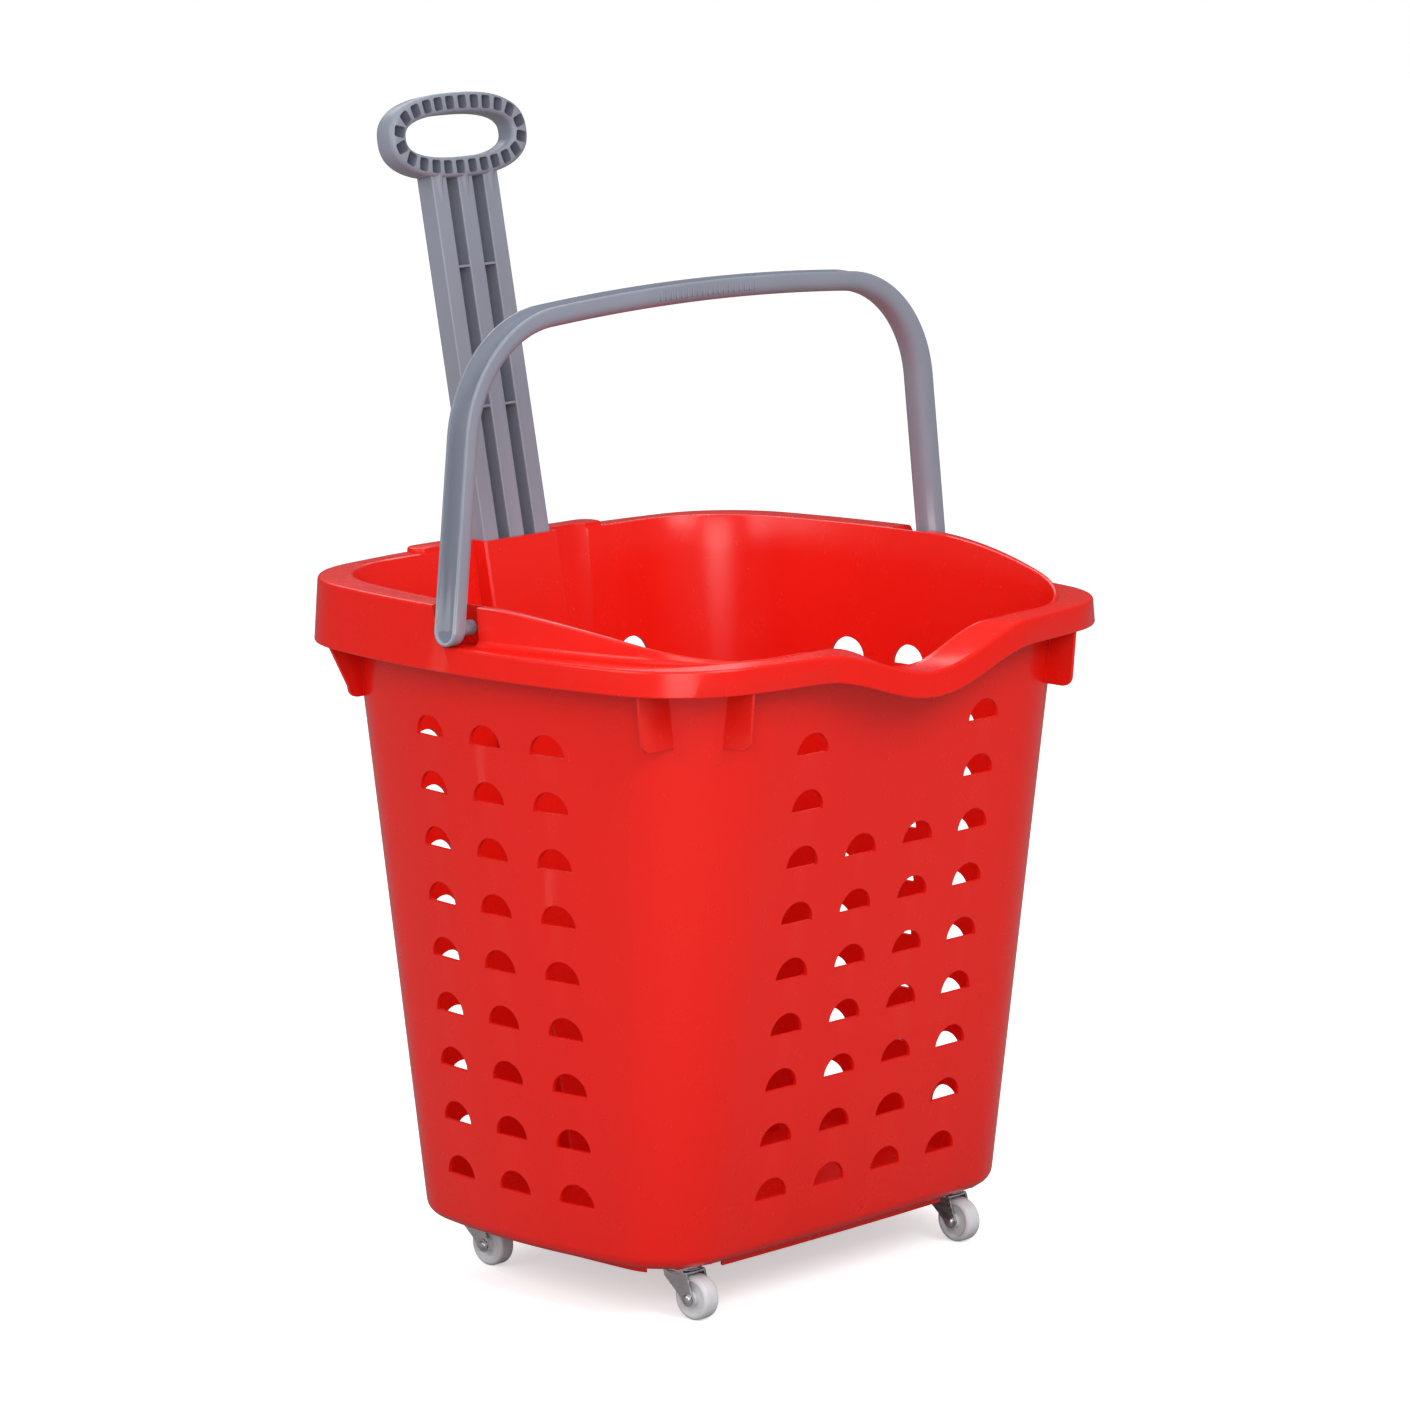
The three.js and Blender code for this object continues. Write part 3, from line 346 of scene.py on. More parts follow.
# ------------------------------------------------------------------ materials
class Nodes:
    """Short names for building one material's nodes."""

    def __init__(self, name):
        self.material = bpy.data.materials.new(name)
        self.material.use_nodes = True
        self.tree = self.material.node_tree
        self.shader = self.tree.nodes["Principled BSDF"]
        self.where = self.tree.nodes.new("ShaderNodeTexCoord").outputs["Object"]

    def link(self, source, target):
        self.tree.links.new(source, target)

    def noise(self, scale, detail=3.0, stretch=None):
        node = self.tree.nodes.new("ShaderNodeTexNoise")
        node.inputs["Scale"].default_value = scale
        node.inputs["Detail"].default_value = detail
        source = self.where
        if stretch:
            mapping = self.tree.nodes.new("ShaderNodeMapping")
            mapping.inputs["Scale"].default_value = stretch
            self.link(source, mapping.inputs["Vector"])
            source = mapping.outputs["Vector"]
        self.link(source, node.inputs["Vector"])
        return node.outputs["Fac"]

    def ramp(self, source, low, high):
        """Maps a noise value onto a range of numbers."""
        node = self.tree.nodes.new("ShaderNodeMapRange")
        node.inputs["From Min"].default_value = 0.3
        node.inputs["From Max"].default_value = 0.7
        node.inputs["To Min"].default_value = low
        node.inputs["To Max"].default_value = high
        self.link(source, node.inputs["Value"])
        return node.outputs["Result"]

    def blend(self, share, first, second):
        """Mixes two colours; each is a colour or another node's output."""
        node = self.tree.nodes.new("ShaderNodeMix")
        node.data_type = "RGBA"
        self.link(share, node.inputs[0])
        for socket, colour in ((node.inputs[6], first), (node.inputs[7], second)):
            if isinstance(colour, tuple):
                socket.default_value = (*colour, 1)
            else:
                self.link(colour, socket)
        return node.outputs[2]

    def edge_sheen_and_wear(self, low, high):
        """One on sharp outer edges, nought on flats: the mask for a painted edge highlight with
        some wear.
        """
        geometry = self.tree.nodes.new("ShaderNodeNewGeometry")
        node = self.tree.nodes.new("ShaderNodeMapRange")
        node.inputs["From Min"].default_value = low
        node.inputs["From Max"].default_value = high
        self.link(geometry.outputs["Pointiness"], node.inputs["Value"])
        return node.outputs["Result"]

    def relief(self, layers, edge_radius):
        """Bump layers of (height, strength, distance in mm) over softly rounded edges."""
        edges = self.tree.nodes.new("ShaderNodeBevel")
        edges.samples = 4
        edges.inputs["Radius"].default_value = edge_radius * MM
        normal = edges.outputs["Normal"]
        for height, strength, distance in layers:
            bump = self.tree.nodes.new("ShaderNodeBump")
            bump.inputs["Strength"].default_value = strength
            bump.inputs["Distance"].default_value = distance * MM
            self.link(height, bump.inputs["Height"])
            self.link(normal, bump.inputs["Normal"])
            normal = bump.outputs["Normal"]
        self.link(normal, self.shader.inputs["Normal"])


def red_plastic():
    """Glossy polypropylene: faint flow marks, soft waviness and dull patches."""
    n = Nodes("red_plastic")
    flow = n.ramp(n.noise(7, 2, (1, 1, 0.35)), 0, 1)
    colour = n.blend(flow, (0.800, 0.0085, 0.0035), (0.830, 0.0105, 0.0045))
    # sharp outer edges get a lighter pink: a painted edge highlight, with some wear
    sheen_and_wear = n.edge_sheen_and_wear(0.56, 0.66)
    n.link(n.blend(sheen_and_wear, colour, (0.84, 0.03, 0.02)), n.shader.inputs["Base Color"])
    n.link(n.ramp(n.noise(60, 3), 0.24, 0.28), n.shader.inputs["Roughness"])
    n.shader.inputs["IOR"].default_value = 1.46
    n.relief([(n.noise(16, 1), 0.02, 1.0)], 0.8)
    return n.material


def grey_plastic():
    """Satin blue-grey polypropylene with a fine spark-eroded grain."""
    n = Nodes("grey_plastic")
    flow = n.ramp(n.noise(14, 4, (1, 1, 0.3)), 0, 1)
    colour = n.blend(flow, (0.235, 0.255, 0.315), (0.270, 0.290, 0.355))
    # sharp outer edges get a lighter grey: a painted edge highlight, with some wear
    sheen_and_wear = n.edge_sheen_and_wear(0.56, 0.68)
    n.link(n.blend(sheen_and_wear, colour, (0.40, 0.42, 0.48)), n.shader.inputs["Base Color"])
    n.link(n.ramp(n.noise(160, 4), 0.32, 0.46), n.shader.inputs["Roughness"])
    n.relief([(n.noise(26, 2), 0.08, 1.0), (n.noise(1300, 2), 0.14, 0.12)], 0.8)
    return n.material


def white_nylon():
    """Off-white nylon with a fine grain and light soiling."""
    n = Nodes("white_nylon")
    soil = n.ramp(n.noise(70, 5), 0, 1)
    n.link(
        n.blend(soil, (0.72, 0.72, 0.75), (0.60, 0.60, 0.62)), n.shader.inputs["Base Color"]
    )
    n.link(n.ramp(n.noise(260, 4), 0.36, 0.55), n.shader.inputs["Roughness"])
    n.shader.inputs["Subsurface Weight"].default_value = 0.1
    n.shader.inputs["Subsurface Scale"].default_value = 2 * MM
    n.relief([(n.noise(700, 3), 0.2, 0.15)], 0.5)
    return n.material


def zinc():
    """Bright zinc plating: pale, slightly mottled, with drawing marks from the press."""
    n = Nodes("zinc")
    mottle = n.ramp(n.noise(90, 5), 0, 1)
    n.link(
        n.blend(mottle, (0.62, 0.64, 0.68), (0.80, 0.80, 0.80)), n.shader.inputs["Base Color"]
    )
    n.shader.inputs["Metallic"].default_value = 1
    n.link(n.ramp(n.noise(400, 4, (1, 0.3, 1)), 0.20, 0.40), n.shader.inputs["Roughness"])
    n.relief([(n.noise(500, 3, (1, 0.25, 1)), 0.12, 0.1)], 0.4)
    return n.material


FINISHES = {
    "red_plastic": red_plastic(),
    "grey_plastic": grey_plastic(),
    "white_nylon": white_nylon(),
    "zinc": zinc(),
}
TO_FRAME = Matrix.Scale(MM, 4) @ shift(0, SHIFT_Y, 0)


def piece(name, mesh, body, finish, nodes, at=(0, 0, 0), sharp=32):
    """Shows a solid as one piece of the object, in place of its CAD nodes."""
    mesh = placed(mesh, TO_FRAME, shift(*at))
    mesh.shade_smooth()
    mesh.set_sharp_from_angle(angle=math.radians(sharp))
    mesh.materials.clear()
    mesh.materials.append(FINISHES[finish])
    thing = bpy.data.objects.new(name, mesh)
    thing.data.name = name
    bpy.context.scene.collection.objects.link(thing)
    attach(thing, body)
    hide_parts(*nodes)
    return thing


# ------------------------------------------------------------------ outlines
def quarter_outline(sizes, steps):
    """A quarter of a rectangle with bowed sides, as three arcs that meet tangentially."""
    half_x, half_y, bow_x, bow_y, corner = sizes
    radius_x = (half_y ** 2 + bow_x ** 2) / (2 * bow_x)
    radius_y = (half_x ** 2 + bow_y ** 2) / (2 * bow_y)
    side_x = np.array((half_x - radius_x, 0.0))
    side_y = np.array((0.0, half_y - radius_y))
    reach_x, reach_y = radius_x - corner, radius_y - corner
    between = side_y - side_x
    distance = np.hypot(*between)
    along = (reach_x ** 2 - reach_y ** 2 + distance ** 2) / (2 * distance)
    across = math.sqrt(reach_x ** 2 - along ** 2)
    unit = between / distance
    centre = side_x + unit * along + np.array((-unit[1], unit[0])) * across
    start = math.atan2(centre[1], centre[0] - side_x[0])
    end = math.atan2(centre[1] - side_y[1], centre[0])
    return np.array(
        arc(side_x, radius_x, 0, start, steps[0])
        + arc(centre, corner, start, end, steps[1])[1:]
        + arc(side_y, radius_y, end, math.pi / 2, steps[2])[1:]
    )


def bowed_outline(sizes, steps=(18, 16, 20)):
    """The whole outline, anticlockwise from the middle of the +X side."""
    quarter = quarter_outline(sizes, steps)
    back = quarter[::-1][1:]
    return np.concatenate(
        [quarter, back * (-1, 1), quarter[1:] * (-1, -1), back[:-1] * (1, -1)]
    )


def wall_sizes(z):
    return WALL_AT_GROUND + WALL_GROWTH * z


def wall_ring(z, inset=0.0, out=0.0):
    """Ring of the wall's outer face; z and out may differ from station to station."""
    low, high = 400.0, 500.0
    if np.ndim(z) == 0:
        low, high = z, z + 1
    first, second = (bowed_outline(wall_sizes(h) - INSET * inset) for h in (low, high))
    z = np.broadcast_to(z, len(first))
    share = ((z - low) / (high - low))[:, None]
    flat = first * (1 - share) + second * share
    along = np.roll(flat, -1, axis=0) - np.roll(flat, 1, axis=0)
    away = np.column_stack([along[:, 1], -along[:, 0]]) / np.hypot(*along.T)[:, None]
    return np.column_stack([flat + away * np.broadcast_to(out, len(flat))[:, None], z])


def dip_at(x, y):
    reach = np.minimum(np.abs(x) / DIP_HALF_WIDTH, 1)
    return np.where(y < 0, DIP_DEPTH * (1 + np.cos(math.pi * reach)) / 2, 0)


def lip_at(x, y):
    """Height of the wall's top edge: level at the back, curving down towards the front."""
    share = np.clip((LIP_START_Y - y) / (LIP_START_Y - LIP_END_Y), 0, 1)
    return RIM_TOP - (RIM_TOP - LIP_FRONT_Z) * share ** 1.5 - dip_at(x, y)


def shoulder_at(y):
    """How far the lip's outer face stands off the wall, fading out towards the front."""
    start, end = SHOULDER_Y
    return SHOULDER_REACH * np.clip((y - end) / (start - end), 0, 1)


# ------------------------------------------------------------------ tub
def wall_solid(inset, bottom, round_radius, lip_insets, extra):
    """The tapered wall as a solid, with a round bottom edge and a round top edge."""
    rings = [
        wall_ring(bottom + v, inset + u)
        for u, v in arc((round_radius, round_radius), round_radius, 1.5 * math.pi, math.pi, 6)
    ]
    rings += [wall_ring(z, inset) for z in (150.0, 280.0, 400.0)]
    edge = bowed_outline(wall_sizes(460.0))
    lip = lip_at(edge[:, 0], edge[:, 1])
    out = 0.0 if extra else shoulder_at(edge[:, 1])
    sunk = dip_at(edge[:, 0], edge[:, 1])
    rings.append(wall_ring(LEDGE_TOP - RIM_SHEET - sunk, inset))
    rings.append(wall_ring(LEDGE_TOP - 1 - sunk, inset, out))
    for drop, by in zip((LIP_ROUND, LIP_ROUND * 0.4, 0), lip_insets):
        rings.append(wall_ring(np.maximum(lip - drop, LEDGE_TOP - 0.9 - sunk), by, out))
    if extra:
        rings.append(wall_ring(lip + extra, lip_insets[-1]))
    return loft(rings)


def rim_band(top, sink, fillet_to):
    """Flange and leaning skirt that stand off the wall, with a round outer edge."""
    edges = bowed_outline(RIM_OUTLINE)
    roots = bowed_outline(wall_sizes(top))
    lean = SKIRT_DRAFT * (top - SKIRT_BOTTOM)
    stations = []
    for edge, root in zip(edges, roots):
        width = np.hypot(*(root - edge))
        inwards = (root - edge) / width
        width -= float(shoulder_at(root[1])) * (fillet_to == "lip")
        drop = float(sink(edge[0], edge[1]))
        lip = float(lip_at(root[0], root[1])) + drop
        rise = min(LEDGE_FILLET, max(lip - top - 1.5, 0.05)) if fillet_to == "lip" else 0.05
        start = width - rise
        inner_round = (lean + RIM_SHEET + RIM_INNER_ROUND, top - RIM_SHEET - RIM_INNER_ROUND)
        profile = [
            (0.5, SKIRT_BOTTOM - 0.3),
            (0.0, SKIRT_BOTTOM + 0.4),
            *arc((lean + RIM_ROUND, top - RIM_ROUND), RIM_ROUND, math.pi, math.pi / 2, 5),
            *arc((start, top + rise), rise, -math.pi / 2, 0, 5),
            (width + WALL / 2, top + rise),
            (width + WALL / 2 + SHOULDER_REACH, top - 0.6),
            (width + WALL / 2 + SHOULDER_REACH, top - RIM_SHEET),
            *arc(inner_round, RIM_INNER_ROUND, math.pi / 2, math.pi, 3),
            (RIM_SHEET, SKIRT_BOTTOM + 0.4),
            (RIM_SHEET - 0.5, SKIRT_BOTTOM - 0.3),
        ]
        stations.append([(*(edge + inwards * u), v - drop) for u, v in profile])
    return band(stations)


def behind_notch(thickness):
    """A slab from the notch's slanted back edge backwards."""
    slab = block((-300, 0, -200), (300, thickness, 200))
    return placed(slab, shift(0, *NOTCH_BACK), turn("X", -NOTCH_LEAN))


def rim(inner):
    rear = common(rim_band(RIM_TOP, lambda x, y: 0.0, "none"), behind_notch(400))
    front_room = block((-300, -300, 380), (300, POCKET_BACK_Y, 500))
    front = common(rim_band(LEDGE_TOP, dip_at, "lip"), front_room)
    faces = []
    for z in (LEDGE_TOP - RIM_SHEET, RIM_TOP - 0.8):
        by = SKIRT_DRAFT * (z - SKIRT_BOTTOM) + 0.8
        flat = bowed_outline(RIM_OUTLINE - INSET * by)
        faces.append(np.column_stack([flat, np.full(len(flat), z)]))
    webs = combine(
        loft(faces), [("DIFFERENCE", placed(inner)), ("INTERSECT", behind_notch(RIM_SHEET))]
    )
    return joined(rear, front, webs)


def corner_ribs():
    """Ribs under the rim, two at each corner, with a round lower outer edge."""
    bottom, top, round_radius, half = 394.5, 446.0, 8.0, 1.2

    def plate(outer, foot, root):
        profile = [
            (root, bottom),
            *arc((foot - round_radius, bottom + round_radius), round_radius, -math.pi / 2, 0, 8),
            (outer, SKIRT_BOTTOM),
            (outer, top),
            (root, top),
        ]
        return prism(profile, -half, half, "xzy")

    front = placed(plate(212, 209, 178), shift(0, -145, 0))
    rear = placed(plate(213, 196, 176), shift(0, 145, 0))
    end = placed(plate(194, 191, 158), shift(156, 0, 0), turn("Z", math.pi / 2))
    half_set = [front, rear, end, placed(end, MIRROR_Y)]
    return half_set + [placed(rib, MIRROR_X) for rib in half_set]


def holes():
    """Half-round punches standing on their flat edge, for the front, back and both sides."""
    low = -HOLE_RADIUS / 2
    outline = arc((0, low), (HOLE_HALF_WIDTH, HOLE_RADIUS), 0, math.pi, 20)
    punch = prism(outline, -60, 0, "xzy")
    column = [HOLE_FIRST_ROW + row * HOLE_ROW_PITCH for row in range(HOLE_ROWS)]
    punches = []
    for step in (-1.5, -0.5, 0.5, 1.5):
        for z in column[:DIP_HOLE_ROWS] if abs(step) < 1 else column:
            punches.append(placed(punch, shift(step * HOLE_PITCH, 10 - wall_sizes(z)[1], z)))
    for side in (-1, 1):
        for z in column:
            punches.append(placed(punch, shift(side * BACK_HOLE_X, wall_sizes(z)[1] + 40, z)))
            for step in (-1, 0, 1):
                place = (side * (wall_sizes(z)[0] - 20), SIDE_HOLE_CENTRE + step * HOLE_PITCH, z)
                punches.append(placed(punch, shift(*place), turn("Z", side * math.pi / 2)))
    return together(punches)


def bay(extra, top):
    """The shallow bay round the channel, with a wide fillet down each side."""
    back = BAY_BACK + extra
    radius = BAY_FILLET + extra
    half = arc((BAY_FLAT_HALF, back - radius), radius, math.pi / 2, BAY_SIDE_ANGLE, 10)
    outline = half + [(half[-1][0] + 6, -60)]
    outline += [(-x, d) for x, d in outline[::-1]]
    tall = placed(prism(outline, -300, 60, "xyz"), ON_SLIDE)
    return common(tall, block((-110, 100, 200), (110, 300, top)))


def channel():
    """Outer walls and hollow of the channel that guides the pull handle."""
    def shaft(half, low, high, front, back, chamfer):
        outline = [
            (-half, back), (-half, front + chamfer), (-half + chamfer, front),
            (half - chamfer, front), (half, front + chamfer), (half, back),
        ]
        return placed(prism(outline, low, high, "xyz"), ON_SLIDE)

    room = block((-100, 0, FLOOR_UNDERSIDE + 1), (100, 300, CAP_TOP))
    outside = (CHANNEL_FRONT, CHANNEL_BACK, CHANNEL_CHAMFER)
    inside = (-CHANNEL_PLAY, BAR_DEPTH + CHANNEL_PLAY, 0.05)
    upper = shaft(CHANNEL_HALF, CHANNEL_STOP - 4, 40, *outside)
    lower = shaft(WELL_HALF, -470, CHANNEL_STOP + 3, *outside)
    walls = common(joined(upper, lower), room)
    mouth = shaft(BAR_HALF + CHANNEL_PLAY, CHANNEL_STOP - 1, 60, *inside)
    well = shaft(WELL_HALF - WELL_WALL, -450, CHANNEL_STOP, *inside)
    above_floor = block((-100, 0, FLOOR_TOP), (100, 300, 600))
    return walls, common(joined(mouth, well), above_floor)


def channel_cap():
    """Raised cap with round ends and a round top edge, that the bar comes out of."""
    half_depth = (CAP_Y[1] - CAP_Y[0]) / 2
    side = CAP_HALF_WIDTH - half_depth
    middle = sum(CAP_Y) / 2

    def ring(by, z):
        radius = half_depth - by
        flat = arc((side, middle), radius, -math.pi / 2, math.pi / 2, 16)
        flat += arc((-side, middle), radius, math.pi / 2, 1.5 * math.pi, 16)
        return np.array([(x, y, z) for x, y in flat])

    levels = [(0.0, RIM_TOP - RIM_SHEET), (0.0, CAP_TOP - CAP_ROUND)]
    edge = arc((0, 0), CAP_ROUND, math.pi, math.pi / 2, 4)
    levels += [(CAP_ROUND + u, CAP_TOP - CAP_ROUND + v) for u, v in edge]
    return loft([ring(by, z) for by, z in levels])


def caster_spots():
    """Middle of each caster, round the middle of the basket."""
    spots = {}
    for place in PLACES:
        at = Vector(JOINTS[f"swivel_{place}"]["pos_m"]) / MM
        spots[place] = (at.x, at.y - SHIFT_Y)
    return spots


SPOTS = caster_spots()


def foot_ring():
    """Ring under the floor, open where the casters swivel."""
    sheet, bottom, swivel_room = 3, 32, 26

    def ring(by, low, high):
        flat = bowed_outline(FOOT_OUTLINE - INSET * by, (8, 12, 8))
        return loft([np.column_stack([flat, np.full(len(flat), z)]) for z in (low, high)])

    room = rod(swivel_room, 25, FLOOR_UNDERSIDE)
    clear = together([placed(room, shift(x, y, 0)) for x, y in SPOTS.values()])
    outer = ring(0, bottom, FLOOR_UNDERSIDE + 1)
    return cut(outer, ring(sheet, bottom - 1, FLOOR_UNDERSIDE + 2), clear)


def recesses():
    """Flat recess behind each bail leg, and the blind hole its spigot turns in."""
    right = block((POCKET_X, NOTCH_FRONT_Y, LEDGE_TOP + 0.05), (245, POCKET_BACK_Y, 481))
    right = cut(right, behind_notch(300))
    bore = rod(SPIGOT_RADIUS + CLEARANCE, POCKET_X - WALL + SPIGOT_SKIN, POCKET_X + 5)
    bore = placed(bore, shift(0, PIVOT.y, PIVOT.z), ALONG_X)
    return [right, bore, placed(right, MIRROR_X), placed(bore, MIRROR_X)]


def tub():
    outer = wall_solid(0.0, FLOOR_UNDERSIDE, BOTTOM_ROUND, (0.0, 0.3, LIP_ROUND), 0)
    inner = wall_solid(
        WALL, FLOOR_TOP, BOTTOM_ROUND - WALL, (WALL, WALL - 0.3, WALL - LIP_ROUND), 40
    )
    bay_outside = cut(bay(WALL, RIM_TOP), placed(inner))
    channel_walls, channel_hollow = channel()
    steps = [("UNION", bay_outside), ("UNION", rim(inner))]
    steps += [("UNION", rib) for rib in corner_ribs()]
    steps += [("UNION", channel_cap()), ("DIFFERENCE", inner), ("DIFFERENCE", bay(0, 600))]
    steps += [("DIFFERENCE", recess) for recess in recesses()]
    steps += [("DIFFERENCE", holes()), ("UNION", channel_walls), ("DIFFERENCE", channel_hollow)]
    steps.append(("UNION", foot_ring()))
    pad = block((-PAD_HALF[0], -PAD_HALF[1], FLOOR_UNDERSIDE), (*PAD_HALF, PAD_TOP))
    steps.append(("UNION", together([placed(pad, shift(x, y, 0)) for x, y in SPOTS.values()])))
    return combine(outer, steps)


# ------------------------------------------------------------------ carry bail
def arch():
    """Stations of the arch from the right foot to the left: x, z and the outward angle."""
    top_turn = math.asin(BAIL_CORNER_START / BAIL_TOP_RADIUS)
    top_z = BAIL_TOP - BAIL_TOP_RADIUS
    corner = (
        BAIL_CORNER_START - BAIL_CORNER_RADIUS * math.sin(top_turn),
        top_z + (BAIL_TOP_RADIUS - BAIL_CORNER_RADIUS) * math.cos(top_turn),
    )
    right = []
    for angle in np.linspace(BAIL_LEAN, math.pi / 2 - top_turn, 25):
        x = corner[0] + BAIL_CORNER_RADIUS * math.cos(angle)
        right.append((x, corner[1] + BAIL_CORNER_RADIUS * math.sin(angle), angle))
    x, z, _ = right[0]
    length = (z - PIVOT.z) / math.cos(BAIL_LEAN)
    leg = [
        (x + math.sin(BAIL_LEAN) * length * share, z - math.cos(BAIL_LEAN) * length * share,
         BAIL_LEAN)
        for share in (1, 0.75, 0.5, 0.25)
    ]
    top = [
        (BAIL_TOP_RADIUS * math.cos(t), top_z + BAIL_TOP_RADIUS * math.sin(t), t)
        for t in np.linspace(math.pi / 2 - top_turn, math.pi / 2, 13)[1:]
    ]
    right = leg + right + top
    return right + [(-x, z, math.pi - angle) for x, z, angle in right[:-1][::-1]]


def sweep(section, stations):
    """A section of (outward, y) points swept along the arch."""
    rings = [
        np.array([(x + out * math.cos(t), PIVOT.y + y, z + out * math.sin(t))
                  for out, y in section])
        for x, z, t in stations
    ]
    return loft(rings)


def bail():
    """The arch with its outer groove, round feet, and a boss and a spigot on each foot."""
    half, depth, round_radius, lip = BAIL_HALF_WIDTH, BAIL_DEPTH, BAIL_ROUND, BAIL_LIP_ROUND
    side = [
        *arc((-lip, half - lip), lip, 0, math.pi / 2, 4),
        *arc((round_radius - depth, half - round_radius), round_radius, math.pi / 2, math.pi, 9),
    ]
    section = side + [(out, -y) for out, y in side[::-1]]
    groove_half, groove_depth = BAIL_GROOVE
    groove = arc((0, 0), (groove_depth, groove_half), math.pi / 2, 1.5 * math.pi, 20)
    groove = [(5, groove_half + 1.0), (0.4, groove_half + 0.9), *groove,
              (0.4, -groove_half - 0.9), (5, -groove_half - 1.0)]
    stations = arch()
    foot_x, foot_z, lean = stations[0]
    # The foot turns the same half section about the outward direction.
    knob = [(y, out) for out, y in side] + [(0.0, -depth), (0.0, 0)]
    dish = [(y, out) for out, y in groove if y > 0.01] + [(0.0, -groove_depth), (0.0, 5)]
    root = foot_x - 8
    boss = rod(BOSS_RADIUS, POCKET_X + 2 * CLEARANCE, root)
    spigot = rod(SPIGOT_RADIUS, POCKET_X - WALL + SPIGOT_SKIN + CLEARANCE, root)
    to_foot = shift(foot_x, PIVOT.y, foot_z) @ turn("Y", math.pi / 2 - lean)
    to_pivot = shift(0, PIVOT.y, PIVOT.z) @ ALONG_X
    right = [placed(lathe(knob), to_foot), placed(boss, to_pivot), placed(spigot, to_pivot)]
    hollow = placed(lathe(dish), to_foot)
    steps = [("UNION", part) for part in right + [placed(p, MIRROR_X) for p in right]]
    steps.append(("DIFFERENCE", sweep(groove, stations)))
    steps += [("DIFFERENCE", part) for part in (hollow, placed(hollow, MIRROR_X))]
    swing = placed(rod(FOOT_SWING, -260, 260), to_pivot)
    below = block((-250, PIVOT.y - 20, PIVOT.z - 20), (250, PIVOT.y + 20, PIVOT.z))
    steps.append(("DIFFERENCE", cut(below, swing)))
    steps.append(("UNION", together(grip_ribs())))
    return combine(sweep(section, stations), steps)


def grip_ribs():
    """Low plain ribs on both faces of the bail's top bar."""
    pitch, radius, half_length, half_height, below_top = 5.0, 0.7, 2.4, 0.55, 6.2
    ribs = []
    for k in range(-9, 10):
        x = k * pitch
        z = BAIL_TOP - BAIL_TOP_RADIUS + math.sqrt(BAIL_TOP_RADIUS ** 2 - x ** 2) - below_top
        for side in (-1, 1):
            y = PIVOT.y + side * (BAIL_HALF_WIDTH - 0.2)
            outline = arc((x, z + half_length), radius, 0, math.pi, 5)
            outline += arc((x, z - half_length), radius, math.pi, 2 * math.pi, 5)
            ribs.append(prism(outline, y - half_height, y + half_height, "xzy"))
    return ribs


# ------------------------------------------------------------------ pull handle
def bar_section():
    """Three hollow flats joined by two grooves, as an (x, d) outline."""
    front, back = [], []
    edge, web = 0.7, BAR_DEPTH - BAR_WALL
    for step in (-1, 0, 1):
        low, high = step * BAR_PITCH - BAR_FLAT / 2, step * BAR_PITCH + BAR_FLAT / 2
        front += [
            (low, BAR_DEPTH if step < 0 else web), (low, edge), (low + edge, 0),
            (high - edge, 0), (high, edge), (high, BAR_DEPTH if step > 0 else web),
        ]
    for step in (1, 0, -1):
        low, high = step * BAR_PITCH - BAR_FLAT / 2, step * BAR_PITCH + BAR_FLAT / 2
        back += [(high - BAR_WALL, BAR_DEPTH), (high - BAR_WALL, BAR_WALL),
                 (low + BAR_WALL, BAR_WALL), (low + BAR_WALL, BAR_DEPTH)]
    return front + back


def grip_oval(by, count):
    """An oval flatter on its sides than an ellipse, as (x, s) round the grip's middle."""
    angle = np.linspace(0, 2 * math.pi, count, endpoint=False)
    flatten = 0.8
    x = np.sign(np.cos(angle)) * np.abs(np.cos(angle)) ** flatten * (GRIP_HALF[0] - by)
    s = np.sign(np.sin(angle)) * np.abs(np.sin(angle)) ** flatten * (GRIP_HALF[1] - by)
    return np.column_stack([x, s])


def grip():
    """The grip's ring, with finger pockets all round its front face."""
    count, round_radius = 128, 4.0
    low, high = GRIP_FRONT + round_radius, GRIP_BACK - round_radius
    near, far = round_radius, GRIP_BAND - round_radius
    profile = []
    for by, d, start in ((near, low, math.pi), (far, low, 1.5 * math.pi),
                         (far, high, 0), (near, high, math.pi / 2)):
        profile += arc((by, d), round_radius, start, start + math.pi / 2, 5)
    ovals = {by: grip_oval(by, count) for by, _ in profile}
    stations = [
        [(ovals[by][i][0], d, GRIP_CENTRE + ovals[by][i][1]) for by, d in profile]
        for i in range(count)
    ]
    middle = grip_oval(GRIP_BAND / 2, GRIP_POCKETS * 16)
    steps = np.hypot(*np.diff(np.vstack([middle, middle[:1]]), axis=0).T)
    lengths = np.concatenate([[0], np.cumsum(steps)])
    corner, half_length, half_width, floor = 1.6, 4.6, 3.9, 3.0
    outline = rounded(half_length, -half_width, half_width, corner, 3)
    pocket = prism(outline, GRIP_FRONT - 1, GRIP_BACK - floor, "xzy")
    pockets_round = []
    for k in range(GRIP_POCKETS):
        i = int(np.searchsorted(lengths, (k + 0.5) * lengths[-1] / GRIP_POCKETS)) % len(middle)
        x, s = middle[i]
        dx, ds = middle[(i + 1) % len(middle)] - middle[i]
        lie = turn("Y", math.pi / 2 - math.atan2(ds, dx))
        pockets_round.append(placed(pocket, shift(x, 0, GRIP_CENTRE + s), lie))
    return band(stations), together(pockets_round)


